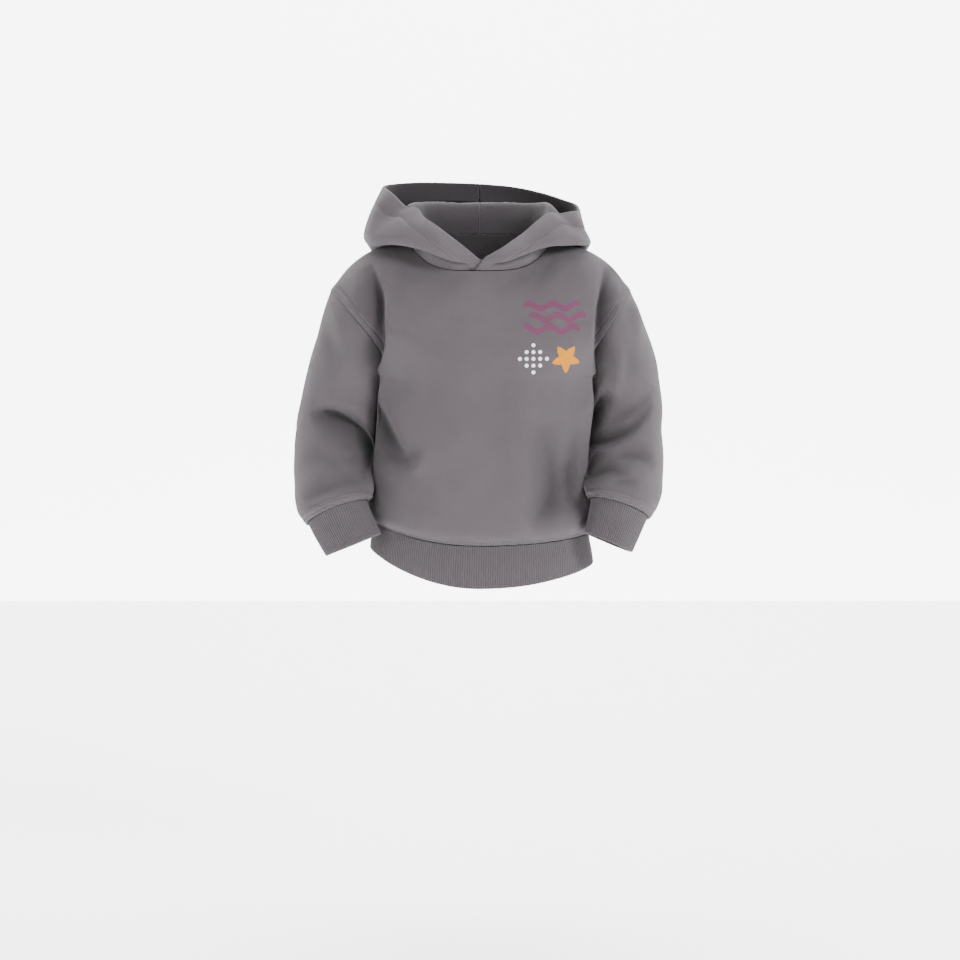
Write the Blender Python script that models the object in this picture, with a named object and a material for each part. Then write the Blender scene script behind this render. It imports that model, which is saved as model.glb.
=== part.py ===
"""Toddler pullover hoodie, size 86/92, as it hangs on a small wearer.

The hood is down, the drop-shoulder sleeves hang beside the body and the ribbed cuffs swing in
towards the front of the hips.  Every piece that is cut and sewn is one closed cloth wall: front,
back, two sleeves, two ribbed cuffs, a ribbed hem band and two hood panels that cross at the throat.

The origin is the centre of the neck opening at the height of the shoulders.  +Z is up, the front
faces -Y, and left and right are the wearer's: +X is the wearer's left.  Sizes are in millimetres.
"""
import math

import bpy
import numpy as np

MM = 0.001

# ---------------------------------------------------------------- cloth
FLEECE = 2.0          # brushed sweatshirt cloth
HOOD_CLOTH = 2.0
HEMMED_EDGE = 1.2     # what the turned hem of the hood opening adds to the wall
HEM_DEPTH = 20.0      # depth of that turned hem
HEM_BLEND = 4.0       # half the stretch over which the wall thins out behind it
RIB_CLOTH = 2.0
RIB_RAISE = 0.5       # how far a rib stands over the groove beside it
SEAM_GAP = 0.36       # clearance between two pieces that are sewn together
MITRE_LIMIT = 1.5     # how far a wall may reach along a sharp seam, in thicknesses

# ---------------------------------------------------------------- sampling
FRONT_COLUMNS, BACK_COLUMNS = 38, 20
SIDE_CLUSTER = 0.06   # draws the columns of a panel together where its side folds are
SHOULDER_ROWS, ARMHOLE_ROWS, SIDE_ROWS = 4, 11, 10
SLEEVE_ROWS = 17
HOOD_STATIONS, HOOD_STEPS = 22, 16
HEM_RIBS, CUFF_RIBS = 220, 56
INNER_PER_RIBS = 4    # ribs beside one plain segment of the inside of a band
BAND_ROWS = 2


class Table:
    """Rows of named columns.  The first column is the key that the others are read along."""

    def __init__(self, names, rows):
        self.names = names.split()
        self.rows = np.array(rows, float)

    def at(self, name, key, low=-math.inf, high=math.inf):
        """A column at any key, on a smooth curve through the rows whose keys are in the range."""
        keys = self.rows[:, 0]
        used = (keys >= low) & (keys <= high)
        return smooth(keys[used], self.rows[used, self.names.index(name)], key)


def smooth(knots, values, at):
    """A smooth curve through values at increasing knots, read at any places between them."""
    at = np.clip(np.asarray(at, float), knots[0], knots[-1])
    step = np.diff(knots)
    secant = np.diff(values) / step
    slope = np.empty_like(values)
    slope[1:-1] = (secant[:-1] * step[1:] + secant[1:] * step[:-1]) / (step[:-1] + step[1:])
    slope[0] = secant[0]
    slope[-1] = secant[-1]
    i = np.clip(np.searchsorted(knots, at, side="right") - 1, 0, len(step) - 1)
    t = (at - knots[i]) / step[i]
    return (
        values[i] * (2 * t**3 - 3 * t**2 + 1)
        + values[i + 1] * (3 * t**2 - 2 * t**3)
        + step[i] * (slope[i] * (t**3 - 2 * t**2 + t) + slope[i + 1] * (t**3 - t**2))
    )


def ease(low, high, x):
    """0 below low, 1 above high and a smooth step between."""
    t = np.clip((np.asarray(x, float) - low) / (high - low), 0, 1)
    return t * t * (3 - 2 * t)


# ---------------------------------------------------------------- body
# A row for each ring of the body.  right_x and left_x are its half widths, side_z the height of
# its sides, tilt what the left side lies above that and the right side below it, front and back
# its middle points, square its corner power (2 is an ellipse) and rise how late it lifts sideways.
TIP, UNDERARM, HEM_SEAM = 4, 6, 10
BODY_COLUMNS = "station right_x left_x side_z tilt front_y front_z back_y back_z square rise"
BODY = Table(BODY_COLUMNS, [
    # neck seam
    (0, 70, 70, 8, 0, -58, -18, 52, 16, 2.0, 3.0),
    (1, 92, 92, 4, 0, -67, -37, 61, 6, 2.0, 2.4),
    (2, 111, 111, -2, 0, -73, -52, 68, -7, 2.0, 2.1),
    (3, 131, 132, -17, 0, -78, -67, 72, -22, 2.0, 2.0),
    # shoulder tip
    (TIP, 149, 150, -40, 0, -82, -84, 76, -42, 2.0, 2.0),
    # underarm
    (UNDERARM, 96, 106, -126, 0, -88, -142, 80, -122, 2.2, 2.0),
    (7, 103, 109, -170, 0, -91, -185, 78, -168, 2.3, 2.0),
    (8, 106, 106, -212, -2, -93, -226, 78, -210, 2.3, 2.0),
    (8.7, 107, 105, -237, -3, -95, -250, 81, -236, 2.3, 2.0),
    (9.2, 107, 111, -254, -4, -96, -267, 84, -253, 2.3, 2.0),
    (9.6, 107, 112, -266, -5, -95, -281, 84, -266, 2.3, 2.0),
    (HEM_SEAM, 104, 108, -276, -5, -89, -291, 78, -277, 2.2, 2.0),
])
HEM_BAND = Table(BODY_COLUMNS, [
    (HEM_SEAM, 104, 108, -276.4, -5, -89, -291.4, 78, -277.4, 2.2, 2.0),
    (10.5, 108, 111, -291, -6, -90, -311, 80, -294, 2.2, 2.0),
    (11, 111, 114, -305, -8, -88.5, -330, 79, -311, 2.2, 2.0),
])

# ---------------------------------------------------------------- sleeves
# A row for each ring of a sleeve.  outer and inner are its points furthest from and nearest to
# the body, centre_y and half_depth place it front to back, bow scoops the armhole in towards the
# body and pitch lifts the ring's front and lowers its back.
SLEEVE_END = 8
SLEEVE_COLUMNS = "station outer_x outer_z inner_x inner_z centre_y half_depth bow pitch"
SLEEVES = {
    "right": Table(SLEEVE_COLUMNS, [
        (0, 149, -40, 96, -126, 0, 50, 11, 0),
        (1, 158, -68, 100.5, -140, 6, 50, 6, 0),
        (2, 168, -100, 102, -153, 12, 48, 2, 0),
        (3, 177, -134, 103, -167, 15, 47, 0, 0),
        (4, 184, -168, 105, -185, 12, 46, 0, 2),
        (5, 187, -203, 107, -204, 2, 45, 0, 4),
        (6, 186, -232, 106.5, -221, -18, 44, 0, 6),
        (7, 183, -251, 105, -235, -35, 42, 0, 8),
        (7.6, 178, -263, 107, -242, -44, 40, 0, 9),
        (SLEEVE_END, 170, -269, 112, -246, -48, 34, 0, 9),
    ]),
    "left": Table(SLEEVE_COLUMNS, [
        (0, 150, -40, 106, -126, 0, 50, 9, 0),
        (1, 161, -66, 112, -139, 6, 50, 5, 0),
        (2, 173, -96, 113.5, -153, 12, 48, 2, 0),
        (3, 181, -130, 113, -167, 15, 47, 0, 0),
        (4, 184, -164, 111, -184, 12, 46, 0, 2),
        (5, 184, -198, 108, -203, 2, 45, 0, 4),
        (6, 182, -226, 105, -219, -18, 44, 0, 6),
        (7, 179, -246, 103, -233, -35, 42, 0, 8),
        (7.6, 173, -258, 107, -240, -44, 40, 0, 9),
        (SLEEVE_END, 166, -263, 112, -244, -48, 34, 0, 9),
    ]),
}
CUFFS = {
    "right": Table(SLEEVE_COLUMNS, [
        (SLEEVE_END, 170, -269, 112, -246, -48, 34, 0, 9),
        (8.5, 161, -286, 105, -262, -54, 30, 0, 5),
        (9, 152, -301, 97, -278, -59, 28, 0, 3),
    ]),
    "left": Table(SLEEVE_COLUMNS, [
        (SLEEVE_END, 166, -263, 112, -244, -48, 34, 0, 9),
        (8.5, 158, -280, 107, -262, -54, 30, 0, 6),
        (9, 150, -297, 102, -277, -59, 28, 0, 4),
    ]),
}

# ---------------------------------------------------------------- hood
# A row for each section of the hood, by its angle from the throat round to the nape.  A section is
# a chain of distances from the neck's axis and heights, from the neck seam: rise and roll stand
# round the neck, drop and bottom hang as the bag, swell and upper turn up to the hemmed edge.
HOOD = Table(
    "angle rise_r rise_z roll_r roll_z drop_r drop_z bottom_r bottom_z swell_r swell_z "
    "upper_r upper_z right_r right_z left_r left_z",
    [
        (0, 58.6, -16.6, 59.3, -15.4, 60.0, -14.2, 60.7, -13.0, 61.6, -11.4, 61.6, -9.8,
         60.5, -8.2, 61, -8.2),
        (20, 60, -15.6, 62.5, -13.6, 65, -12, 67.5, -10, 70, -5, 67, 2, 62.5, 9.5, 63.5, 4),
        (40, 65, -9, 69, -6.5, 73, -4, 79, -1, 82, 6, 77, 15, 65, 25, 65, 18),
        (55, 68, 1, 71, 5, 78, 4, 88, 4, 94, 11, 88, 24, 67, 34, 69, 30.5),
        (67, 67, 8, 70, 19, 80, 13, 94, 5, 102, 12, 94, 28, 68, 43, 75, 38),
        (74, 66, 13, 69, 30, 84, 16, 100, 5, 108, 12, 99, 29, 76, 44, 81, 37),
        (80, 66, 16, 69, 34, 87, 18, 103, 4, 111, 12, 105, 36, 86, 55, 92, 39),
        (92, 65, 22, 69, 43, 90, 20, 106, 4, 115, 11, 109, 38, 95, 62, 99, 40),
        (104, 63, 26, 68, 46, 92, 16, 108, 1, 119, 8, 113, 38, 99, 65, 100, 46),
        (120, 61, 28, 67, 46, 93, 4, 112, -20, 123, -2, 118, 35, 103, 67, 99, 51),
        (140, 56, 30, 64, 46, 92, -14, 111, -54, 127, -26, 121, 25, 102, 69, 96, 59),
        (160, 53, 32, 61, 46, 89, -24, 105, -78, 126, -46, 122, 16, 98, 69, 96, 65),
        (180, 52, 32, 60, 46, 88, -26, 102, -86, 125, -52, 122, 14, 96, 68, 96, 68),
    ],
)
LEFT_FOLLOWS = {"swell": 0.15, "upper": 0.6, "right": 1.0}   # share of the left edge's difference
LEFT_FLATTER = {"swell": 5.0, "upper": 8.0}   # how much less the left panel stands out at its side
FLATTER_FADE = (20.0, 80.0)           # degrees from the throat and the nape over which that sets in
RIGHT_UNDER = 4.8          # how far the right panel lies inside the left one at the throat
RIGHT_UNDER_FADE = (6.0, 20.0)        # degrees over which it comes out to the left one's distance
RIGHT_START = -10.0        # degrees past the centre that the right panel runs under the left
LEFT_START = (-5.0, 4.0)   # degrees where the left panel ends, at its seam and at its edge
NECK_LEAN = (-12.0, 55.0, 21.0)   # slope of the neck seam's mitre at the throat, side and nape

# ---------------------------------------------------------------- folds
# Troughs pressed into the cloth.  A row is x0 z0 x1 z1 bow near far depth: the fold runs from
# (x0, z0) to (x1, z1) and bows sideways, near and far are its widths on the side towards the
# body's middle and on the side away from it, and a depth below zero raises a ridge.
FRONT_FOLDS = [
    # beside the chest, and the front of the upper arms outside it
    (-108, -14, -106, -160, 9, 11, 16, 14),
    (125, -14, 115, -168, -7, 11, 16, 14),
    (-148, -50, -130, -170, 4, 15, 22, -6),
    (156, -50, 140, -170, -4, 15, 22, -6),
    # across the belly
    (-101, -166, -60, -234, 4, 10, 16, 9),
    (62, -176, 74, -264, -4, 13, 12, 5),
    (103, -196, 95, -262, -6, 9, 12, 8),
    # inside the elbows
    (-170, -164, -112, -212, -14, 9, 10, 9),
    (-166, -236, -112, -226, 6, 7, 9, 6),
    (120, -190, 168, -142, -8, 9, 10, 8),
    (116, -226, 170, -212, 8, 8, 10, 7),
]
BACK_FOLDS = [
    # behind the armholes
    (-112, -30, -106, -152, 7, 8, 22, 16),
    (120, -34, 115, -162, -5, 8, 22, 17),
    # where the back breaks over the hem band
    (-74, -240, -8, -212, 8, 10, 12, 6),
    (64, -244, 16, -226, -6, 9, 10, 5),
    # behind the elbows
    (158, -150, 120, -206, 12, 9, 10, 8),
    (-156, -168, -118, -216, -12, 9, 10, 8),
]
FOLD_STEPS = 25
FOLD_TAPER = 0.3           # share of a fold's length over which each end rises to its full depth
SIDE_FADE = (5.0, 35.0)    # distances from the side seams' plane over which the folds set in

FLEECE_COLOUR = (0.195, 0.178, 0.190, 1.0)
FLEECE_ROUGHNESS = 0.9
RIB_COLOUR = (0.175, 0.160, 0.171, 1.0)
RIB_ROUGHNESS = 0.95


def pressed(points, folds):
    """How deep the folds press at each point, seen from the front or the back."""
    depth = np.zeros(points.shape[:-1])
    along = np.linspace(0, 1, FOLD_STEPS)
    taper = ease(0, FOLD_TAPER, along) * ease(0, FOLD_TAPER, 1 - along)
    for row in folds:
        x0, z0, x1, z1, bow, near, far, deep = row
        run = np.array([x1 - x0, z1 - z0], float)
        sideways = np.array([-run[1], run[0]]) / np.linalg.norm(run)
        path = np.array([x0, z0]) + along[:, None] * run
        path = path + (4 * along * (1 - along) * bow)[:, None] * sideways
        away = points[..., None, [0, 2]] - path
        distance = np.linalg.norm(away, axis=-1)
        nearest = distance.argmin(-1)
        offset = np.take_along_axis(away[..., 0], nearest[..., None], -1)[..., 0]
        width = np.where(np.sign(offset) == np.sign(points[..., 0]), far, near)
        depth += deep * taper[nearest] * np.exp(-((distance.min(-1) / width) ** 2))
    return depth


def folded(points):
    """The same points with the folds of the front and of the back pressed in."""
    moved = points.copy()
    moved[..., 1] += pressed(points, FRONT_FOLDS) * ease(*SIDE_FADE, -points[..., 1])
    moved[..., 1] -= pressed(points, BACK_FOLDS) * ease(*SIDE_FADE, points[..., 1])
    return moved


# ---------------------------------------------------------------- pieces as grids of points
def sleeve_points(tables, side, station, turn):
    """Points of a sleeve's ring; turn runs from its outer point by the front to its inner point."""
    table = tables[side]
    across = (1 - np.cos(turn)) / 2
    forward = np.sin(turn)
    outer_x = table.at("outer_x", station)
    outer_z = table.at("outer_z", station)
    x = outer_x + (table.at("inner_x", station) - outer_x) * across
    x = x - table.at("bow", station) * forward**2
    y = table.at("centre_y", station) - table.at("half_depth", station) * forward
    z = outer_z + (table.at("inner_z", station) - outer_z) * across
    z = z + table.at("pitch", station) * forward
    return np.stack([x if side == "left" else -x, y, z], -1)


def side_point(table, side, station, back):
    """Where the front meets the back, or where one of them meets a sleeve."""
    if TIP < station < UNDERARM:
        turn = math.pi * (station - TIP) / (UNDERARM - TIP)
        return sleeve_points(SLEEVES, side, 0, -turn if back else turn)
    above, below = (0, TIP) if station <= TIP else (UNDERARM, math.inf)
    sign = 1 if side == "left" else -1
    x = table.at(side + "_x", station, above, below)
    z = table.at("side_z", station, above, below) + sign * table.at("tilt", station)
    return np.array([sign * x, 0.0, z])


def body_points(table, station, share, back):
    """Points of a ring of the front or the back; share runs from -1 on its right to 1 on its left."""
    face = "back" if back else "front"
    middle_y = table.at(face + "_y", station)
    middle_z = table.at(face + "_z", station)
    power = 2 / table.at("square", station)
    points = np.empty(share.shape + (3,))
    for side, half in (("right", share <= 0), ("left", share > 0)):
        end = side_point(table, side, station, back)
        last = math.acos(abs(end[1] / middle_y) ** (1 / power))
        turn = np.abs(share[half]) * last
        out = (np.sin(turn) / math.sin(last)) ** power
        y = middle_y * np.cos(turn) ** power
        z = middle_z + (end[2] - middle_z) * out ** table.at("rise", station)
        points[half] = np.stack([end[0] * out, y, z], -1)
    return points


def panel(back):
    """The grid of the front or the back, a row for each station from the neck to the hem seam."""
    stations = np.concatenate([
        np.linspace(0, TIP, SHOULDER_ROWS, endpoint=False),
        np.linspace(TIP, UNDERARM, ARMHOLE_ROWS, endpoint=False),
        np.linspace(UNDERARM, HEM_SEAM, SIDE_ROWS + 1),
    ])
    share = np.linspace(-1, 1, (BACK_COLUMNS if back else FRONT_COLUMNS) + 1)
    share = share + SIDE_CLUSTER * np.sin(2 * math.pi * share)
    return np.array([body_points(BODY, station, share, back) for station in stations])


def sleeve(side):
    """The grid of a sleeve, whose first ring has the points of the panels' armholes."""
    front = math.pi * np.linspace(0, 1, ARMHOLE_ROWS + 1)
    turns = np.concatenate([front, 2 * math.pi - front[-2:0:-1]])
    stations = np.linspace(0, SLEEVE_END, SLEEVE_ROWS + 1)
    return np.array([sleeve_points(SLEEVES, side, station, turns) for station in stations])


def neck_ring(angle):
    """Distance from the axis and height of the neck seam, by the angle from the throat."""
    front = np.cos(angle) >= 0
    depth = np.where(front, -BODY.at("front_y", 0), BODY.at("back_y", 0))
    middle = np.where(front, BODY.at("front_z", 0), BODY.at("back_z", 0))
    half_width = BODY.at("left_x", 0)
    radius = 1 / np.hypot(np.sin(angle) / half_width, np.cos(angle) / depth)
    out = np.abs(radius * np.sin(angle)) / half_width
    return radius, middle + (BODY.at("side_z", 0) - middle) * out ** BODY.at("rise", 0)


def hood(side):
    """The grid of a hood panel, a row for each section from the throat round to the nape."""
    start = LEFT_START if side == "left" else (RIGHT_START, RIGHT_START)
    first = np.linspace(*start, HOOD_STEPS + 1)
    sections = []
    for share in np.linspace(0, 1, HOOD_STATIONS + 1):
        angle = first + (180 - first) * share
        key = np.maximum(angle, 0)
        rails = [neck_ring(np.radians(angle))]
        for name in ("rise", "roll", "drop", "bottom", "swell", "upper", "right"):
            rail = np.array([HOOD.at(f"{name}_{axis}", key) for axis in "rz"])
            if side == "left" and name in LEFT_FOLLOWS:
                edges = [[HOOD.at(f"{edge}_{axis}", key) for axis in "rz"] for edge in ("left", "right")]
                rail = rail + LEFT_FOLLOWS[name] * np.subtract(*edges)
                fade = ease(*FLATTER_FADE, key) * ease(*FLATTER_FADE, 180 - key)
                rail[0] -= LEFT_FLATTER.get(name, 0) * fade
            rails.append(rail)
        sections.append(section_points(np.array(rails), angle, side))
    return np.array(sections)


def section_points(rails, angle, side):
    """Points evenly spread along one section of the hood, through its rails."""
    chord = np.linalg.norm(np.diff(rails[:, :, -1], axis=0), axis=1)
    knots = np.concatenate([[0], np.cumsum(np.sqrt(chord))])
    steps = np.linspace(0, knots[-1], HOOD_STEPS + 1)
    radius = np.array([smooth(knots, rails[:, 0, i], step) for i, step in enumerate(steps)])
    height = np.array([smooth(knots, rails[:, 1, i], step) for i, step in enumerate(steps)])
    if side == "right":
        radius = radius - RIGHT_UNDER * (1 - ease(*RIGHT_UNDER_FADE, angle))
    turn = np.radians(angle)
    sign = 1 if side == "left" else -1
    return np.stack([sign * radius * np.sin(turn), -radius * np.cos(turn), height], -1)


# ---------------------------------------------------------------- walls
def unit(vectors):
    return vectors / np.linalg.norm(vectors, axis=-1, keepdims=True)


def normals(grid, closed=False):
    """Unit normals at a grid's points, each the mean of the faces round it."""
    if closed:
        grid = np.concatenate([grid, grid[:, :1]], 1)
    face = np.cross(grid[1:, :-1] - grid[:-1, 1:], grid[1:, 1:] - grid[:-1, :-1])
    total = np.zeros(grid.shape)
    for rows in (slice(None, -1), slice(1, None)):
        for columns in (slice(None, -1), slice(1, None)):
            total[rows, columns] += face
    if closed:
        total[:, 0] += total[:, -1]
        total = total[:, :-1]
    return unit(total)


def mitre(first, second):
    """The line in which two walls meet, from their normals, as long as it is in thicknesses."""
    both = first + second
    length = np.linalg.norm(both, axis=-1, keepdims=True)
    return both / length * np.minimum(2 / length, MITRE_LIMIT)


def neck_mitre(points):
    """The mitre of the neck seam and the direction from the body to the hood, at points on it."""
    angle = np.arctan2(points[:, 0], -points[:, 1])
    throat, side, nape = NECK_LEAN
    middle = np.where(np.cos(angle) >= 0, throat, nape)
    lean = np.radians(middle + (side - middle) * np.sin(angle) ** 2)
    outward = np.stack([np.sin(angle), -np.cos(angle), np.zeros(len(angle))], -1)
    up = np.array([0.0, 0.0, 1.0])
    along = np.cos(lean)[:, None] * outward + np.sin(lean)[:, None] * up
    across = np.cos(lean)[:, None] * up - np.sin(lean)[:, None] * outward
    return along, across


def flat_mitre(points, across):
    """The mitre of a seam round a tube: outwards from it, at right angles to across."""
    along = np.roll(points, -1, 0) - np.roll(points, 1, 0)
    outward = unit(np.cross(across, along))
    return outward * np.sign(((points - points.mean(0)) * outward).sum(-1, keepdims=True))


def seam_shift(grid, out, closed):
    """What moves each point on a grid's sewn border away from the piece across the seam."""
    shift = np.zeros(grid.shape)
    borders = [(grid, out, shift, 0, 1, closed), (grid, out, shift, -1, -2, closed)]
    if not closed:
        turned = [np.moveaxis(array, 1, 0) for array in (grid, out, shift)]
        borders += [(*turned, 0, 1, False), (*turned, -1, -2, False)]
    for lines, mitres, moved, edge, beside, ring in borders:
        line = lines[edge]
        tangent = np.roll(line, -1, 0) - np.roll(line, 1, 0) if ring else np.gradient(line, axis=0)
        across = unit(np.cross(tangent, mitres[edge]))
        towards = np.sign((across * (lines[beside] - line)).sum(-1, keepdims=True))
        moved[edge] += across * towards * SEAM_GAP / 2
    return shift


def cloth_material(name, colour, roughness):
    material = bpy.data.materials.new(name)
    material.use_nodes = True
    shader = material.node_tree.nodes["Principled BSDF"]
    shader.inputs["Base Color"].default_value = colour
    shader.inputs["Roughness"].default_value = roughness
    shader.inputs["Metallic"].default_value = 0.0
    return material


def mesh_object(name, points, faces, colour, roughness):
    mesh = bpy.data.meshes.new(name)
    mesh.from_pydata((points * MM).tolist(), [], faces)
    mesh.shade_smooth()
    mesh.materials.append(cloth_material(name, colour, roughness))
    collection.objects.link(bpy.data.objects.new(name, mesh))


def strips(row_count, column_count, closed):
    """Each face of a grid as its four indices."""
    last = column_count if closed else column_count - 1
    for i in range(row_count - 1):
        for j in range(last):
            k = (j + 1) % column_count
            yield (i * column_count + j, (i + 1) * column_count + j,
                   (i + 1) * column_count + k, i * column_count + k)


def border(row_count, column_count, closed):
    """The loops of indices round a grid's border: one round an open grid, two round a tube."""
    first = list(range(column_count))
    last = [(row_count - 1) * column_count + j for j in range(column_count)]
    if closed:
        return [first[::-1], last]
    left = [i * column_count for i in range(row_count)]
    right = [i * column_count + column_count - 1 for i in range(row_count)]
    return [left[:-1] + last[:-1] + right[:0:-1] + first[:0:-1]]


def fleece_wall(name, outer, inner, closed=False, inside_out=False):
    """One closed wall between two grids of points that match row by row and column by column."""
    row_count, column_count = outer.shape[:2]
    layer = row_count * column_count
    points = np.concatenate([outer.reshape(-1, 3), inner.reshape(-1, 3)])
    faces = []
    for face in strips(row_count, column_count, closed):
        faces.append(face)
        faces.append([layer + i for i in reversed(face)])
    for loop in border(row_count, column_count, closed):
        for i, j in zip(loop, loop[1:] + loop[:1]):
            # The shorter diagonal, so that both sides of a seam twist alike.
            under_i, under_j = layer + i, layer + j
            if math.dist(points[i], points[under_j]) < math.dist(points[j], points[under_i]):
                faces += [(j, i, under_j), (i, under_i, under_j)]
            else:
                faces += [(j, i, under_i), (j, under_i, under_j)]
    if inside_out:
        faces = [face[::-1] for face in faces]
    mesh_object(name, points, faces, FLEECE_COLOUR, FLEECE_ROUGHNESS)


def ribbed_band(name, ring, ribs, first_across, inside_out):
    """A band of rib knit: ribs raised on the outside over a plain inside of fewer segments."""
    wide = 2 * ribs
    group = 2 * INNER_PER_RIBS
    turns = np.linspace(0, 2 * math.pi, wide, endpoint=False)
    base = np.array([ring(share, turns) for share in np.linspace(0, 1, BAND_ROWS + 1)])
    out = normals(base, closed=True) * (-1 if inside_out else 1)
    out[0] = flat_mitre(base[0], first_across)
    raised = RIB_RAISE * (np.arange(wide) % 2 == 0)
    outer = base + out * (raised - RIB_RAISE)[:, None]
    inner = (base - out * (RIB_RAISE + RIB_CLOTH))[:, ::group]
    narrow = inner.shape[1]
    start = outer.shape[0] * wide
    faces = list(strips(BAND_ROWS + 1, wide, True))
    faces += [[start + i for i in reversed(face)] for face in strips(BAND_ROWS + 1, narrow, True)]
    for row, turned in ((0, False), (BAND_ROWS, True)):
        for j in range(narrow):
            here = start + row * narrow + j
            there = start + row * narrow + (j + 1) % narrow
            rim = [row * wide + (j * group + n) % wide for n in range(group + 1)]
            half = group // 2
            fan = [(rim[n], rim[n + 1], here) for n in range(half)]
            fan += [(rim[n], rim[n + 1], there) for n in range(half, group)]
            fan.append((there, here, rim[half]))
            faces += [face[::-1] for face in fan] if turned else fan
    if inside_out:
        faces = [face[::-1] for face in faces]
    points = np.concatenate([outer.reshape(-1, 3), inner.reshape(-1, 3)])
    mesh_object(name, points, faces, RIB_COLOUR, RIB_ROUGHNESS)


# ---------------------------------------------------------------- the garment
def cuff_axis(side):
    """The direction in which the cuff leaves the sleeve, at right angles to their seam."""
    points = sleeve_points(SLEEVES, side, SLEEVE_END, np.array([0, math.pi / 2, math.pi]))
    middle = (points[0] + points[2]) / 2
    axis = unit(np.cross(points[2] - points[0], points[1] - middle))
    return axis * np.sign(-axis[2])


def build_body_and_sleeves():
    """Front, back and sleeves, whose walls share a mitre along each seam between them."""
    grids = {"front": folded(panel(back=False)), "back": folded(panel(back=True))}
    out = {"front": normals(grids["front"]), "back": -normals(grids["back"])}
    for face in ("front", "back"):
        out[face][0] = neck_mitre(grids[face][0])[0]
        out[face][-1] = unit(out[face][-1] * (1, 1, 0))
        out[face][-1, [0, -1]] = [(-1, 0, 0), (1, 0, 0)]
    for side, edge in (("right", 0), ("left", -1)):
        name = "sleeve_" + side
        grids[name] = folded(sleeve(side))
        out[name] = normals(grids[name], closed=True) * (1 if side == "right" else -1)
        first, last = SHOULDER_ROWS, SHOULDER_ROWS + ARMHOLE_ROWS
        for rows in (slice(1, first), slice(last + 1, -1)):
            seam = mitre(out["front"][rows, edge], out["back"][rows, edge])
            out["front"][rows, edge] = seam
            out["back"][rows, edge] = seam
        armhole = slice(first, last + 1)
        arm = np.concatenate([out["front"][armhole, edge], out["back"][last - 1:first:-1, edge]])
        tip, pit = 0, ARMHOLE_ROWS
        arm[tip] = unit(arm[tip] + out["back"][first, edge])
        arm[pit] = unit(arm[pit] + out["back"][last, edge])
        seam = mitre(out[name][0], arm)
        out[name][0] = seam
        out["front"][armhole, edge] = seam[:pit + 1]
        out["back"][armhole, edge] = np.concatenate([seam[:1], seam[:pit - 1:-1]])
        out[name][-1] = flat_mitre(grids[name][-1], cuff_axis(side))
    for name, grid in grids.items():
        tube = name.startswith("sleeve")
        outer = grid + seam_shift(grid, out[name], tube)
        inner = outer - out[name] * FLEECE
        # The shoulder and side seams lie in the plane y = 0.
        for layer in (outer, inner):
            if name == "front":
                layer[..., 1] = np.minimum(layer[..., 1], -SEAM_GAP / 2)
            if name == "back":
                layer[..., 1] = np.maximum(layer[..., 1], SEAM_GAP / 2)
        fleece_wall(name, outer, inner, closed=tube, inside_out=name in ("back", "sleeve_left"))


def build_hood():
    """Two hood panels, thicker along the turned hem of the opening."""
    for side in ("right", "left"):
        grid = hood(side)
        out = normals(grid) * (1 if side == "left" else -1)
        along, across = neck_mitre(grid[:, 0])
        out[:, 0] = along
        grid[:, 0] += across * SEAM_GAP
        step = np.linalg.norm(np.diff(grid, axis=1), axis=-1)
        to_edge = np.cumsum(step[:, ::-1], 1)[:, ::-1]
        to_edge = np.concatenate([to_edge, np.zeros((len(grid), 1))], 1)
        past_hem = ease(HEM_DEPTH - HEM_BLEND, HEM_DEPTH + HEM_BLEND, to_edge)
        thick = HOOD_CLOTH + HEMMED_EDGE * (1 - past_hem)
        inner = grid - out * thick[..., None]
        for layer in (grid, inner):
            layer[-1, :, 0] = (1 if side == "left" else -1) * SEAM_GAP / 2
        fleece_wall("hood_" + side, grid, inner, inside_out=side == "right")


def build_bands():
    """The ribbed hem band and cuffs."""
    def hem_ring(share, turns):
        station = HEM_SEAM + share
        across = np.arcsin(np.sin(turns)) / (math.pi / 2)
        front = body_points(HEM_BAND, station, across, back=False)
        back = body_points(HEM_BAND, station, across, back=True)
        return np.where((np.cos(turns) > 0)[:, None], front, back)

    ribbed_band("hem_band", hem_ring, HEM_RIBS, np.array([0.0, 0.0, -1.0]), inside_out=False)
    for side in ("right", "left"):
        def cuff_ring(share, turns, side=side):
            return sleeve_points(CUFFS, side, SLEEVE_END + share, turns)

        ribbed_band("cuff_" + side, cuff_ring, CUFF_RIBS, cuff_axis(side), inside_out=side == "left")


for old in list(bpy.data.objects):
    bpy.data.objects.remove(old)
collection = bpy.data.collections.new("toddler_hoodie")
bpy.context.scene.collection.children.link(collection)
build_body_and_sleeves()
build_hood()
build_bands()
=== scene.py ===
"""Looks of a toddler's pullover hoodie, worn with the hood down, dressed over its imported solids.

Each sewn piece of cloth is a grid of points read from short tables of its rings.  Sizes are in
millimetres in the frame of the solids: +Z up, the front faces -Y, +X is the wearer's left.
"""
import math
import re

import bpy
import numpy as np
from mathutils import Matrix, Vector
from mathutils.bvhtree import BVHTree


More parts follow.
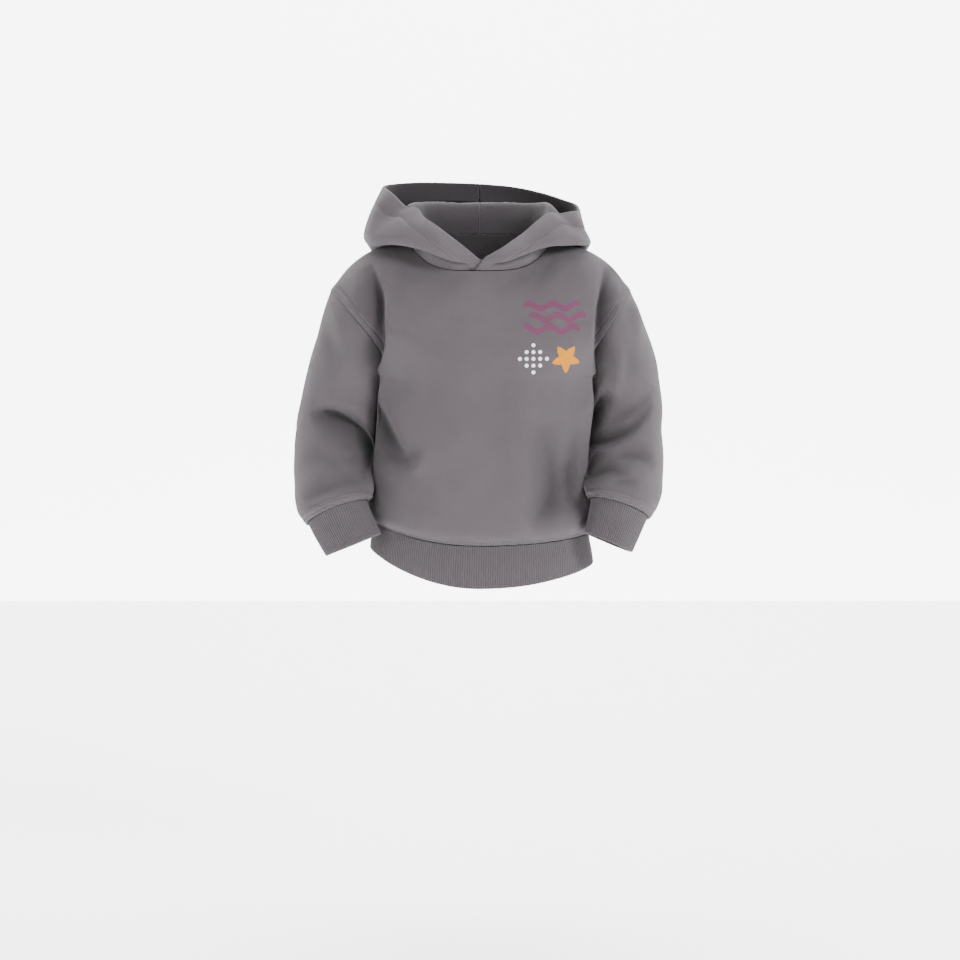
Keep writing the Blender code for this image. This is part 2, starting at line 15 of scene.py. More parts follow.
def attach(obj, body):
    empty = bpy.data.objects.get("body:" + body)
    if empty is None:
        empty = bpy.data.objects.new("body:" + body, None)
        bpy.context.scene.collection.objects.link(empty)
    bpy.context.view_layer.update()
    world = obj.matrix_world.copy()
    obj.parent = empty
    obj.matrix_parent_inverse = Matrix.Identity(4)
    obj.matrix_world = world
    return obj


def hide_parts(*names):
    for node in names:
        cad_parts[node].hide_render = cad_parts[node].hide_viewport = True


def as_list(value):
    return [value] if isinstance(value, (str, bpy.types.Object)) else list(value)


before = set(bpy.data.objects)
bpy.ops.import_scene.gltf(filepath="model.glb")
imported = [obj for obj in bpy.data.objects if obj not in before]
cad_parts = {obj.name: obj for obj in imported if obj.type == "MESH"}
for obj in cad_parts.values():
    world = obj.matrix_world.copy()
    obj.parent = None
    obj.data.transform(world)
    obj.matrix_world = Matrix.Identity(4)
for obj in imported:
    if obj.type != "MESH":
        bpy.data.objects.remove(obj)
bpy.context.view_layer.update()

MM = 0.001

# ------ cloth
FLEECE = 2.0                            # brushed sweatshirt cloth
HOOD_HEM, HOOD_HEM_DEPTH = 1.2, 20.0    # what the turned hem of the hood opening adds, and its depth
RIB_BAND, RIB_RAISE = 3.2, 0.55         # rib knit folded double, and how far a rib stands over a groove
HEM_RIBS, CUFF_RIBS, POINTS_PER_RIB = 276, 84, 6
RIB_FLATNESS = 0.8      # below 1 a rib is broader than a groove
SEAM_GAP = -0.15        # clearance between the front and the back at their seams: they overlap a little
SEAM_DIP = 0.5          # depth and half width of the groove at a plain seam
SEAM_ROUND = 0.6        # how far the edge of a piece that is sewn on sinks at its seam
TURNED_THICKNESS, TURNED_DEPTH = 1.2, 2.5     # its allowance, which lies inside the piece above
TURNED_LENGTH, TURNED_ROWS = 0.9, (4, 7)      # how far past the edge it starts, and where it ends
ALLOWANCE, ALLOWANCE_FROM = 0.5, (0.4, 1.6)   # what the cloth folded under beside a seam adds
CHANNEL, CUFF_CHANNEL, CHANNEL_WIDTH = 0.7, 0.6, 1.0    # depths of the dips that stitches pull
EDGE_ROUND, EDGE_LEFT = 0.6, 0.04       # shares of the thickness: rounded at an edge, and left there
STITCH, STITCH_GAP, THREAD = 2.5, 0.7, 0.5
# distances of the rows of stitches from their seams
ARMHOLE_STITCHES, HEM_STITCHES, CENTRE_STITCHES, CUFF_STITCHES = 8.0, 3.6, 3.0, (3.0, 9.5)
CUFF_LIP, CUFF_LIP_FADE = 1.2, (5.7, 9.5)     # how far the sleeve's end stands out over the cuff
GATHER, GATHER_REACH = 0.25, 7.0        # height of the gathers over a rib band, and how far up they go
HEM_GATHER, CUFF_GATHER = 11.0, 10.0    # from one gather to the next
GATHER_WANDERS = ((1.6, 21.0), (0.9, 8.3))    # how far they wander, and over what length
GATHER_SWELLS = (0.55, 0.45, 33.0, 2.0)       # their least size, what is added, over what length, shift

# ------ camera and light
EYE_DISTANCE, EYE_HEIGHT = 3000.0, 20.0
AIM_HEIGHT = -230.0
FRAME_HALF = 480.0      # half of what the camera takes in at the garment
FLOOR_HEIGHT = -675.0

# ------ sampling
EDGES = ("first", "last", "right", "left")
EDGE = (0.0, 0.15, 0.4, 0.8, 1.3, 2.0, 3.0, 4.2)    # close distances from an edge
BY_STITCHES = (-1.0, -0.5, 0.0, 0.5, 1.0)           # and beside a row of stitches
BAND_EDGE = (0.0, 0.25, 0.7, 1.3, 2.2)
POINT = (0.0,)
FAR = 1e3
SHORTEST = 60.0         # curves under this length have their close points squeezed
CROWD = 0.4             # how much closer the columns of the body are at its sides
CLOSEST = 0.12          # least distance between two close points
NORMAL_TURNS = 3        # how often the directions out of the cloth are averaged
# Steps above, along and below the armholes, and across: of the front and of the back.
PANEL_STEPS = ((34, 78, 84, 180), (22, 58, 60, 130))
# Steps down a sleeve, up a hood panel and round it, and down the rib bands.
SLEEVE_STEPS, HOOD_STEPS, HOOD_ROUND = 116, 110, 120
HEM_BAND_STEPS, CUFF_STEPS = 12, 14
# Points of the curves that are read: across a panel and the hem, round a cuff, up the hood, and down.
FINE, ROUGH, CUFF_FINE, HOOD_FINE, STATIONS_FINE = 1201, 301, 361, 241, 160


class Table:
    """Rows of named columns, from text.  The first column is the key that the others are read along."""

    def __init__(self, names, text):
        self.names = names.split()
        self.rows = np.array(text.split(), float).reshape(-1, len(self.names))

    def at(self, name, key, low=-math.inf, high=math.inf):
        """A column at any key, on a smooth curve through the rows whose keys are in the range."""
        keys = self.rows[:, 0]
        used = (keys >= low) & (keys <= high)
        return smooth(keys[used], self.rows[used, self.names.index(name)], key)


def smooth(knots, values, at):
    """A smooth curve through values at increasing knots, read at any places between them."""
    at = np.clip(np.asarray(at, float), knots[0], knots[-1])
    step = np.diff(knots)
    secant = np.diff(values) / step
    inner = (secant[:-1] * step[1:] + secant[1:] * step[:-1]) / (step[:-1] + step[1:])
    slope = np.concatenate([secant[:1], inner, secant[-1:]])
    i = np.clip(np.searchsorted(knots, at, side="right") - 1, 0, len(step) - 1)
    t = (at - knots[i]) / step[i]
    return (
        values[i] * (2 * t**3 - 3 * t**2 + 1)
        + values[i + 1] * (3 * t**2 - 2 * t**3)
        + step[i] * (slope[i] * (t**3 - 2 * t**2 + t) + slope[i + 1] * (t**3 - t**2))
    )


def ease(low, high, x):
    """0 below low, 1 above high and a smooth step between."""
    t = np.clip((np.asarray(x, float) - low) / (high - low), 0, 1)
    return t * t * (3 - 2 * t)


# ------ body
TIP, UNDERARM, HEM_SEAM = 4, 6, 10      # stations; the neck seam is 0
BODY_COLUMNS = "station right_x left_x side_z tilt front_y front_z back_y back_z square rise"
BODY = Table(BODY_COLUMNS, """
    0 70 70 8 0 -58 -19.5 52 16 2 4.2
    1 92 92 4 0 -67 -37 61 6 2 2.4
    2 111 111 -2 0 -73 -52 68 -7 2 2.1
    3 131 132 -17 0 -78 -67 72 -22 2 2
    4 149 150 -40 0 -82 -84 76 -42 2 2
    6 96 106 -126 0 -88 -142 80 -122 2.2 2
    7 103 109 -170 0 -91 -185 78 -168 2.3 2
    8 106 106 -212 -2 -93 -226 78 -210 2.3 2
    8.7 107 105 -237 -3 -95 -250 81 -236 2.3 2
    9.2 112 112.5 -254 -4 -96 -265 84 -253 2.3 2
    9.6 112.5 113 -266 -5 -95 -278 84 -266 2.3 2
    10 106 109 -275.5 -6 -89 -287.5 78 -277 2.2 2
""")
HEM_BAND = Table(BODY_COLUMNS, """
    10 106 109 -275.8 -6 -89 -287.8 78 -277.3 2.2 2
    10.5 109 112 -291 -7 -90 -309 80 -294 2.2 2
    11 111 114 -305 -8 -88.5 -330 79 -311 2.2 2
""")

# ------ sleeves
SLEEVE_END = 8
RING = "outer_x outer_z inner_x inner_z bow pitch".split()
SLEEVE_COLUMNS = "station centre_y half_depth " + " ".join(
    f"{side}_{name}" for side in ("right", "left") for name in RING)
SLEEVE = Table(SLEEVE_COLUMNS, """
    0 0 50 149 -40 96 -126 11 0 150 -40 106 -126 3 0
    1 6 50 158 -68 99 -140 6 0 161 -66 108 -139 2 0
    2 12 48 168 -100 100.6 -153 2 0 173 -96 108.2 -153 2 0
    3 15 47 177 -134 102 -167 0 0 181 -130 108.3 -167 0 0
    4 12 46 184 -168 103.6 -185 0 2 184 -164 107.2 -184 0 2
    5 2 45 187 -203 104.8 -204 0 4 184 -198 105.8 -203 0 4
    6 -18 44 186 -232 105.4 -221 0 6 182 -226 105 -219 0 6
    7 -35 42 183 -251 105 -235 0 8 179 -246 103 -233 0 8
    7.6 -44 40 178 -263 107 -242 0 9 173 -258 105.5 -240 0 9
    8 -48 34 170 -269 112 -246 0 9 166 -263 109.5 -244 0 9
""")
CUFF = Table(SLEEVE_COLUMNS, """
    8 -48 34 170 -269.3 112 -246.3 0 9 166 -263.3 109.5 -244.3 0 9
    8.5 -54 30 161 -286 105 -262 0 5 158 -280 106 -262 0 6
    9 -59 28 152 -301 97 -278 0 3 150 -297 102 -277 0 4
""")

# ------ hood
# Sections by their angle from the throat round to the nape.  Each is a chain of distances from the
# neck's axis and heights: up round the neck, over the roll, down into the pouch and up to the edge.
HOOD_RAILS = "rise roll drop bottom swell upper".split()
HOOD_COLUMNS = "angle " + " ".join(
    f"{name}_{axis}" for name in HOOD_RAILS + ["right", "left"] for axis in "rz")
HOOD = Table(HOOD_COLUMNS, """
    0 58.6 -17.8 59.3 -16.2 60 -14.8 60.9 -13.6 61.8 -11.6 61.7 -9.8 60.5 -8.2 61 -8.2
    10 59.4 -16.6 60.4 -14.6 61.6 -12.9 63 -11.6 64.2 -8.6 63.6 -4.6 61.5 0.5 62.3 -2.5
    20 61.5 -14 61.5 -9.5 64.5 -8.2 69 -11 70.5 -4 67 2 62.5 9.5 63.5 4
    30 63 -11.5 62.6 -6 66 -3.6 73.5 -6.5 76 1 72 9 63.5 17.5 64 11
    40 66 -7.5 65.5 -1.5 70 1.5 79.5 -1.5 82 6 77 15 65 25 65 18
    55 69 1 69.5 7 76 9 88 4 94 11 88 24 67 34 69 30.5
    67 67 8 70 19 80 13 94 5 102 12 94 28 68 43 75 38
    74 66 13 69 30 84 16 100 5 108 12 99 29 76 44 81 37
    80 66 16 69 34 87 18 103 4 111 12 105 36 86 55 92 39
    92 65 22 69 43 90 20 106 4 115 11 109 38 95 62 99 40
    104 63 26 68 46 92 16 108 1 119 8 113 38 99 65 100 46
    120 61 28 67 46 93 4 112 -20 123 -2 118 35 103 67 99 51
    140 56 30 64 46 92 -14 111 -54 127 -26 121 25 102 69 96 59
    160 53 32 61 46 89 -24 105 -78 126 -46 122 16 98 69 96 65
    180 52 32 60 46 88 -26 102 -86 125 -52 122 14 96 68 96 68
""")
LEFT_FOLLOWS = {"swell": 0.15, "upper": 0.6, "right": 1.0}   # share of the left edge's difference
LEFT_FLATTER = {"swell": 5.0, "upper": 8.0}   # how much less the left panel stands out at its side
FLATTER_FADE = (20.0, 80.0)
RIGHT_UNDER = 4.8          # how far the right panel lies inside the left one at the throat
RIGHT_UNDER_FADE = (6.0, 20.0)
RIGHT_START = -10.0        # degrees past the centre that the right panel runs under the left
LEFT_START = (-5.0, 4.0)   # degrees where the left panel ends, at its seam and at its edge
HOOD_LENGTH = 230.0        # round a panel from the throat to the nape

# ------ folds
# Views give the way to the viewer, across and up.
VIEWS = {
    "front": ((0, -1, 0), (1, 0, 0), (0, 0, 1)),
    "back": ((0, 1, 0), (1, 0, 0), (0, 0, 1)),
    "left": ((1, 0, 0), (0, -1, 0), (0, 0, 1)),
    "right": ((-1, 0, 0), (0, -1, 0), (0, 0, 1)),
}
# How far the body stands out over the arms below them: height, and by how much on each panel's side.
LAPS = Table("height front_right front_left back_right back_left", """
    -276 0 0 0 0
    -267 1 2 1 1
    -252 2 5 3 3
    -236 2 1.5 4 5.5
    -216 3 3 4 5.5
    -187 1 4 4 4
    -165 2 6.5 4 4
    -153 4.5 8.5 4 4
    -140 6.5 9.5 4 4
    -118 5 8 2 2
    -100 0 0 0 0
""")
LAP_PLACE, LAP_WIDTH = 32.0, 16.0     # distance of the lap from the side seam's plane, and its spread
LAP_FOLLOWS = 36.0                    # how far down a sleeve follows the lap it is sewn to
LAP_START = (60.0, 90.0)              # distances from the middle between which it grows
# A fold is its view, its depth, its widths to the left and right of its path, how far its bottom is
# tucked under the narrower side, and after the colon its path: places in the view, each with the
# share of the depth there.  A depth below zero is a ridge.  The folds at the armholes run across
# them: beside the chest, with the rounded fronts of the arms outside them, and at the back.
FOLDS = {
    "armholes": """
    front 20 2.2 12 6: -110 -14 0, -105 -28 0.45, -100.5 -44 0.9, -99 -66 1, -100 -90 1, -102 -106 0.75,
        -104 -120 0.2, -105 -132 0
    front -4 9 12 0: -126 -20 0, -120 -40 1, -118 -62 0.7, -117 -90 0
    front 18 11 2.2 4: 128 -12 0, 125 -24 0.5, 121 -44 0.9, 119 -72 1, 118 -100 1, 118 -114 0.7, 118 -126 0.2,
        118 -136 0
    front -4 12 8 0: 128 -30 0, 132 -46 1, 132 -64 0.7, 128 -88 0
    back 12 14 3 3: -108 -30 0, -102 -50 0.8, -99 -80 1, -99 -112 0.9, -101 -132 0
    back 12 3 14 3: 118 -30 0, 113 -52 0.8, 110 -82 1, 109 -112 0.9, 110 -132 0
    """,
    "front": """
    # from the right underarm across the belly
    front 22 2.8 13 2: -106 -146 0, -101.5 -157 0.6, -94 -172 1, -86 -188 0.8, -79 -199 0.5, -72 -209 0
    front 7 8 7 0: -98 -198 0, -88 -206 0.8, -76 -210 1, -66 -206 0.5, -58 -198 0
    front -4 6 8 0: -68 -226 0, -61 -214 1, -57 -202 0.6, -54 -190 0
    # belly
    front -5 13 12 0: 30 -150 0, 35 -190 0.8, 39 -230 1, 43 -272 0.6, 44 -285 0
    front 12 12 12 0: 60 -170 0, 68 -205 0.5, 72 -232 1, 70 -250 1, 58 -268 0.3, 48 -276 0
    front 11 8 8 0: 97 -176 0, 92 -204 0.5, 87 -226 1, 90 -246 0.8, 98 -262 0.3, 102 -270 0
    front -4 5 6 0: 100 -150 0, 98 -190 0.6, 95 -222 1, 98 -236 1, 105 -248 1, 110 -258 0.6, 112 -268 0.2
    # under the hood
    front 3 9 8 0: 72 -12 0.6, 64 -22 1, 54 -38 0.5, 48 -52 0
    front 2.5 11 9 0: 94 -10 0.6, 90 -28 0.8, 86 -52 0
    front 2.5 9 11 0: -72 -12 0.5, -80 -28 0.8, -86 -54 0
    front 1.2 20 24 0: -30 -60 0, -40 -100 1, -34 -150 0.8, -20 -200 0
    front 1.2 22 18 0: 36 -60 0, 30 -110 1, 16 -170 0.8, 4 -220 0
    """,
    "back": """
    back 6 12 9 0: -76 -238 0, -40 -226 0.8, -4 -224 1, 34 -232 0.6, 60 -244 0
    back -2.5 9 9 0: -66 -252 0, -34 -242 0.8, 0 -240 1, 30 -247 0.4, 46 -254 0
    back 4 8 10 0: -24 -96 0, -52 -106 0.8, -78 -114 1, -96 -118 0.4
    back 4 10 8 0: 22 -94 0, 50 -106 0.8, 76 -116 1, 100 -122 0.5
    back -3 14 12 0: 18 -128 0, 24 -168 1, 22 -206 0.6, 20 -226 0
    back 3 10 14 0: -46 -150 0, -54 -184 1, -52 -212 0.6, -44 -232 0
    back 5 9 6 0: 100 -180 0, 90 -206 0.8, 84 -232 1, 88 -254 0.5, 92 -264 0
    """,
    "sleeve_right": """
    # the crescent inside the elbow
    front 18 3.5 14 3: -170 -166 0, -160 -164 0.5, -148 -164 0.9, -136 -169 1, -124 -177 1, -115 -188 1,
        -110 -199 0.8, -114 -212 0.5, -116 -222 0
    front -4 9 7 0: -162 -150 0, -146 -151 0.8, -130 -157 1, -116 -168 0.8, -107 -178 0.2
    front 9 3 6 0: -107 -203 0.3, -111 -213 1, -116 -222 0.7, -119 -230 0
    # above the cuff
    front 6 9 4 0: -178 -252 0, -166 -247 0.7, -148 -240 1, -128 -232 0.9, -110 -226 0.4
    # upper arm
    front -2.5 7 7 0: -146 -46 0, -141 -66 1, -136 -92 0.7, -131 -108 0
    front 3 8 8 0: -156 -60 0, -152 -84 1, -148 -110 0.6, -146 -132 0
    front 3 9 8 0: -176 -200 0, -160 -210 0.8, -140 -220 0.8, -128 -224 0
    right 1.5 14 14 0: -36 -196 0, -20 -184 0.8, 0 -178 1, 22 -184 0.6, 34 -190 0
    back 8 5 12 2: -166 -150 0, -150 -158 0.8, -134 -172 1, -120 -190 0.8, -112 -206 0.3
    back 6 8 6 0: -172 -206 0, -154 -212 0.8, -136 -222 1, -116 -232 0.5
    """,
    "sleeve_left": """
    front 16 7 3.5 2: 129 -140 0, 122 -151 0.8, 116 -163 1, 112 -176 0.6
    front 14 10 3.5 2: 110 -196 0.8, 125 -192 1, 139 -186 0.9, 152 -178 0.6, 166 -163 0.3, 172 -150 0
    front -4 7 7 0: 112 -183 0.4, 126 -180 1, 140 -174 0.9, 154 -165 0.4, 164 -154 0
    front 7 8 6 0: 129 -174 0, 141 -164 0.7, 157 -156 0.8, 171 -142 0.3, 176 -134 0
    front 15 4 7 0: 108 -222 1, 114 -212 0.9, 118 -205 0.5, 122 -199 0
    front 12 8 3.5 1: 110 -229 1, 121 -225 1, 130 -222 0.8, 143 -224 0.3, 150 -226 0
    front 5 4 5 0: 132 -232 0, 141 -233 1, 152 -233 0.7, 160 -233 0
    front 7 7 5 0: 134 -208 0, 146 -206 0.8, 157 -207 1, 169 -213 0.5, 176 -219 0
    front -4 6 6 0: 148 -40 0, 152 -56 1, 158 -76 0.8, 162 -100 0
    front -3 5 6 0: 140 -92 0, 139 -112 1, 138 -132 0.8, 134 -150 0
    front 3 8 8 0: 138 -70 0, 143 -90 0.8, 150 -112 0.6, 154 -130 0
    left 1.5 14 14 0: -34 -176 0, -20 -182 0.6, 0 -176 1, 20 -182 0.8, 34 -192 0
    back 8 12 5 2: 164 -146 0, 148 -156 0.8, 134 -170 1, 122 -188 0.8, 114 -206 0.3
    back 6 6 8 0: 170 -200 0, 152 -208 0.8, 134 -220 1, 116 -230 0.5
    """,
}
FOLD_STEPS = 28
CREASE, RIDGE = 1.35, 2.0    # how a trough and a ridge level off to their sides
FACING_FADE = (-0.05, 0.4)   # how far a face turns to a fold's view before the fold takes it
SEAM_FADE = 14.0             # within this of a seam a fold pushes straight along its view
SEAM_DEPTHS = (2.0, 22.0)    # how far out a seam lies before it takes a fold
DARKEST = 15.0               # depth of a crease whose painted shade is full
SHARP = 2.4                  # depth of a crease whose lip is softened
SOFT_TURNS, SOFT_EDGE = 5, 3.0   # how often, and how far from an edge
SOFT_SHARE = (0.05, 0.4)     # shares of such a crease between which the softening grows
SHADE_SPREAD = 0.6           # below 1 the painted shade is broader than the crease
LEVEL_FADE = (3.0, 20.0)     # distances from the sides between which the rows are evened


def read_folds(text):
    """The folds of a text: their numbers and, as an array, the places of their paths."""
    for view, sizes, path in re.findall(r"(\w+) ([-. \d]+):([-.\d\s,]+)", text):
        path = np.array(path.replace(",", " ").split(), float).reshape(-1, 3)
        yield (view, *map(float, sizes.split()), path)


def run(points, axis=0):
    """Distances along curves of points, from 0."""
    step = np.linalg.norm(np.diff(points, axis=axis), axis=-1)
    start = np.zeros_like(np.take(step, [0], axis))
    return np.concatenate([start, np.cumsum(step, axis)], axis)


def places(length, count, start, end, crowd=0.0):
    """Distances along a length: steps between the close ones at its ends, crowded to the ends."""
    squeeze = min(1, length / SHORTEST)
    low = np.array(start) * squeeze
    high = length - np.array(end)[::-1] * squeeze
    share = np.arange(1, count) / count
    share = share - crowd * np.sin(2 * math.pi * share) / (2 * math.pi)
    return np.concatenate([low, low[-1] + (high[0] - low[-1]) * share, high])


def beside(*rows):
    """The close distances at an edge, and more of them beside rows of stitches."""
    steps = list(EDGE)
    for row in rows:
        steps += [row + offset for offset in BY_STITCHES]
    kept = []
    for step in sorted(steps):
        if not kept or step - kept[-1] > CLOSEST:
            kept.append(step)
    return kept


def read_along(values, arc, where):
    """Rows of values, known at distances along a line, read at other ones."""
    return np.stack([np.interp(where, arc, column) for column in values.T], -1)


def resample(points, count, start, end, crowd=0.0):
    """The same curve with points at those places."""
    arc = run(points)
    return read_along(points, arc, places(arc[-1], count, start, end, crowd))


def stations(line, first, last, count, start, end):
    """Stations whose points on a line down a piece lie at those places."""
    dense = np.linspace(first, last, STATIONS_FINE)
    arc = run(np.array([line(station) for station in dense]))
    return np.interp(places(arc[-1], count, start, end), arc, dense)


# ------ surfaces
def sleeve_points(table, side, station, turn):
    """Points of a sleeve's ring; turn runs from its outer point by the front to its inner point."""
    across, forward = (1 - np.cos(turn)) / 2, np.sin(turn)
    outer_x, outer_z, inner_x, inner_z, bow, pitch = (table.at(f"{side}_{name}", station) for name in RING)
    x = outer_x + (inner_x - outer_x) * across - bow * forward**2
    y = table.at("centre_y", station) - table.at("half_depth", station) * forward
    z = outer_z + (inner_z - outer_z) * across + pitch * forward
    return np.stack([x if side == "left" else -x, y, z], -1)


def side_point(table, side, station, back):
    """Where the front meets the back, or where one of them meets a sleeve."""
    if TIP < station < UNDERARM:
        turn = math.pi * (station - TIP) / (UNDERARM - TIP)
        return sleeve_points(SLEEVE, side, 0, -turn if back else turn)
    above, below = (0, TIP) if station <= TIP else (UNDERARM, math.inf)
    sign = 1 if side == "left" else -1
    x = table.at(side + "_x", station, above, below)
    z = table.at("side_z", station, above, below) + sign * table.at("tilt", station)
    return np.array([sign * x, 0.0, z])


def body_points(table, station, share, back):
    """Points of a ring of the front or the back; share runs from -1 on its right to 1 on its left."""
    face = "back" if back else "front"
    middle_y = table.at(face + "_y", station)
    middle_z = table.at(face + "_z", station)
    power = 2 / table.at("square", station)
    points = np.empty(share.shape + (3,))
    for side, half in (("right", share <= 0), ("left", share > 0)):
        end = side_point(table, side, station, back)
        last = math.acos(abs(end[1] / middle_y) ** (1 / power))
        turn = np.abs(share[half]) * last
        out = (np.sin(turn) / math.sin(last)) ** power
        y = middle_y * np.cos(turn) ** power
        z = middle_z + (end[2] - middle_z) * out ** table.at("rise", station)
        points[half] = np.stack([end[0] * out, y, z], -1)
    return points


def down_middle(back):
    """The line down the middle of the front or the back."""
    return lambda station: body_points(BODY, station, np.zeros(1), back)[0]


def armhole_stations(back):
    """Stations of the rows of the front or the back that end on the armhole."""
    return stations(down_middle(back), TIP, UNDERARM, PANEL_STEPS[back][1], POINT, POINT)


def panel(back):
    """The front or the back, a row for each station from the neck to the hem seam."""
    above, _, below, across = PANEL_STEPS[back]
    rows = np.concatenate([
        stations(down_middle(back), 0, TIP, above, EDGE, POINT),
        armhole_stations(back)[1:],
        stations(down_middle(back), UNDERARM, HEM_SEAM, below, POINT, beside(HEM_STITCHES))[1:],
    ])
    share = np.linspace(-1, 1, FINE)
    side = beside(ARMHOLE_STITCHES)
    return np.array([resample(body_points(BODY, row, share, back), across, side, side, CROWD)
                     for row in rows])


def sleeve(side):
    """A sleeve, opened along its underarm seam, from the armhole to the cuff."""
    def outer(station):
        return sleeve_points(SLEEVE, side, station, 0.0)

    rows = stations(outer, 0, SLEEVE_END, SLEEVE_STEPS, EDGE, beside(*CUFF_STITCHES))
    # its columns start where the rows of the back and the front end, so that the seam stays shut
    scale = math.pi / (UNDERARM - TIP)
    on_back = 2 * math.pi - scale * (armhole_stations(back=True)[::-1] - TIP)
    on_front = 2 * math.pi + scale * (armhole_stations(back=False)[1:] - TIP)
    close = np.array(EDGE[1:6]) / SLEEVE.at("half_depth", 0)
    turns = np.concatenate([on_back[:1], math.pi + close, on_back[1:], on_front[:-1],
                            3 * math.pi - close[::-1], on_front[-1:]])
    return np.array([sleeve_points(SLEEVE, side, row, turns) for row in rows])


def neck_ring(angle):
    """Distance from the axis and height of the neck seam, by the angle from the throat."""
    front = np.cos(angle) >= 0
    depth = np.where(front, -BODY.at("front_y", 0), BODY.at("back_y", 0))
    middle = np.where(front, BODY.at("front_z", 0), BODY.at("back_z", 0))
    half_width = BODY.at("left_x", 0)
    radius = 1 / np.hypot(np.sin(angle) / half_width, np.cos(angle) / depth)
    out = np.abs(radius * np.sin(angle)) / half_width
    return radius, middle + (BODY.at("side_z", 0) - middle) * out ** BODY.at("rise", 0)


def hood(side):
    """A hood panel, a row for each section from the throat round to the nape."""
    start = LEFT_START if side == "left" else (RIGHT_START, RIGHT_START)
    first = np.linspace(*start, HOOD_FINE)
    sections = []
    for share in places(HOOD_LENGTH, HOOD_ROUND, EDGE, beside(CENTRE_STITCHES)) / HOOD_LENGTH:
        angle = first + (180 - first) * share
        key = np.maximum(angle, 0)

        def rail_of(name):
            return np.array([HOOD.at(f"{name}_{axis}", key) for axis in "rz"])

        rails = [neck_ring(np.radians(angle))]
        for name in HOOD_RAILS + ["right"]:
            rail = rail_of(name)
            if side == "left" and name in LEFT_FOLLOWS:
                rail = rail + LEFT_FOLLOWS[name] * (rail_of("left") - rail_of("right"))
                fade = ease(*FLATTER_FADE, key) * ease(*FLATTER_FADE, 180 - key)
                rail[0] -= LEFT_FLATTER.get(name, 0) * fade
            rails.append(rail)
        section = section_points(np.array(rails), angle, side)
        sections.append(resample(section, HOOD_STEPS, EDGE, beside(HOOD_HEM_DEPTH)))
    return np.array(sections)


def section_points(rails, angle, side):
    """Points of one section of the hood, through its rails."""
    chord = np.linalg.norm(np.diff(rails[:, :, -1], axis=0), axis=1)
    knots = np.concatenate([[0], np.cumsum(np.sqrt(chord))])
    steps = np.linspace(0, knots[-1], len(angle))
    radius = np.array([smooth(knots, rails[:, 0, i], step) for i, step in enumerate(steps)])
    height = np.array([smooth(knots, rails[:, 1, i], step) for i, step in enumerate(steps)])
    if side == "right":
        radius = radius - RIGHT_UNDER * (1 - ease(*RIGHT_UNDER_FADE, angle))
    turn = np.radians(angle)
    sign = 1 if side == "left" else -1
    return np.stack([sign * radius * np.sin(turn), -radius * np.cos(turn), height], -1)


def hem_ring(station):
    """The hem band's ring from its left side, by the back and the front, round to it again."""
    share = np.linspace(-1, 1, ROUGH)
    front = body_points(HEM_BAND, station, share, back=False)
    back = body_points(HEM_BAND, station, share[::-1], back=True)
    return np.concatenate([back, front[1:]])


def cuff_ring(side):
    """A cuff's rings, from its underarm seam round to it again."""
    return lambda station: sleeve_points(CUFF, side, station, np.linspace(math.pi, 3 * math.pi, CUFF_FINE))


def band(ring, first, count, ribs):
    """A band of rib knit as a grid, POINTS_PER_RIB columns to a rib."""
    rows = stations(lambda station: ring(station)[0], first, first + 1, count, BAND_EDGE, BAND_EDGE)
    return np.array([resample(ring(row), ribs * POINTS_PER_RIB, POINT, POINT) for row in rows])


# ------ pieces of cloth
def unit(vectors):
    return vectors / np.maximum(np.linalg.norm(vectors, axis=-1, keepdims=True), 1e-9)


def seen(points, view):
    """Where points lie as seen from a side; from the front it is from a standing distance."""
    if view == "front":
        nearer = EYE_DISTANCE / (EYE_DISTANCE + points[..., 1])
        height = EYE_HEIGHT + (points[..., 2] - EYE_HEIGHT) * nearer
        return np.stack([points[..., 0] * nearer, height], -1)
    if view == "back":
        return points[..., [0, 2]]
    return np.stack([-points[..., 1], points[..., 2]], -1)


def fold_share(places_seen, left, right, power, path):
    """The share of a fold's depth at places of its view, and the way there to its sharper side."""
    knots = run(path[:, :2])
    steps = np.linspace(0, knots[-1], FOLD_STEPS)
    line = np.stack([smooth(knots, column, steps) for column in path.T], -1)
    start, ahead = line[:-1, :2], np.diff(line[:, :2], axis=0)
    from_start = places_seen[..., None, :] - start
    along = np.clip((from_start * ahead).sum(-1) / (ahead**2).sum(-1), 0, 1)
    away = from_start - along[..., None] * ahead
    distance = np.linalg.norm(away, axis=-1)
    nearest = distance.argmin(-1)
    at = (*np.indices(nearest.shape), nearest)
    along, distance, away = along[at], distance[at], away[at]
    heading = unit(ahead)[nearest]
    side = heading[..., 0] * away[..., 1] - heading[..., 1] * away[..., 0]
    strength = line[nearest, 2] + along * (line[nearest + 1, 2] - line[nearest, 2])
    share = np.clip(strength, 0, 1) * np.exp(-((distance / np.where(side > 0, left, right)) ** power))
    leftward = np.stack([-heading[..., 1], heading[..., 0]], -1)
    return share, leftward * (1 if left < right else -1)


# Slow waves that keep the cloth from lying perfectly even: their direction, length and height.
WAVES = [
    ((0.9, 0.2, 0.4), 61, 0.35),
    ((0.3, 0.5, -0.8), 47, 0.30),
    ((-0.6, 0.4, 0.7), 35, 0.20),
    ((0.1, -0.7, 0.7), 27, 0.12),
    ((0.8, 0.6, -0.1), 19, 0.07),
]
WAVE_SHIFT = 1.7


def uneven(points):
    return sum(height * np.sin(2 * math.pi * (points @ unit(np.array(direction))) / length + WAVE_SHIFT * i)
               for i, (direction, length, height) in enumerate(WAVES))


def denser(line, often):
    """Rows of values along a line, whose first three are its points, with more rows between them."""
    arc = run(line[:, :3])
    return read_along(line, arc, np.linspace(0, arc[-1], often * len(line)))


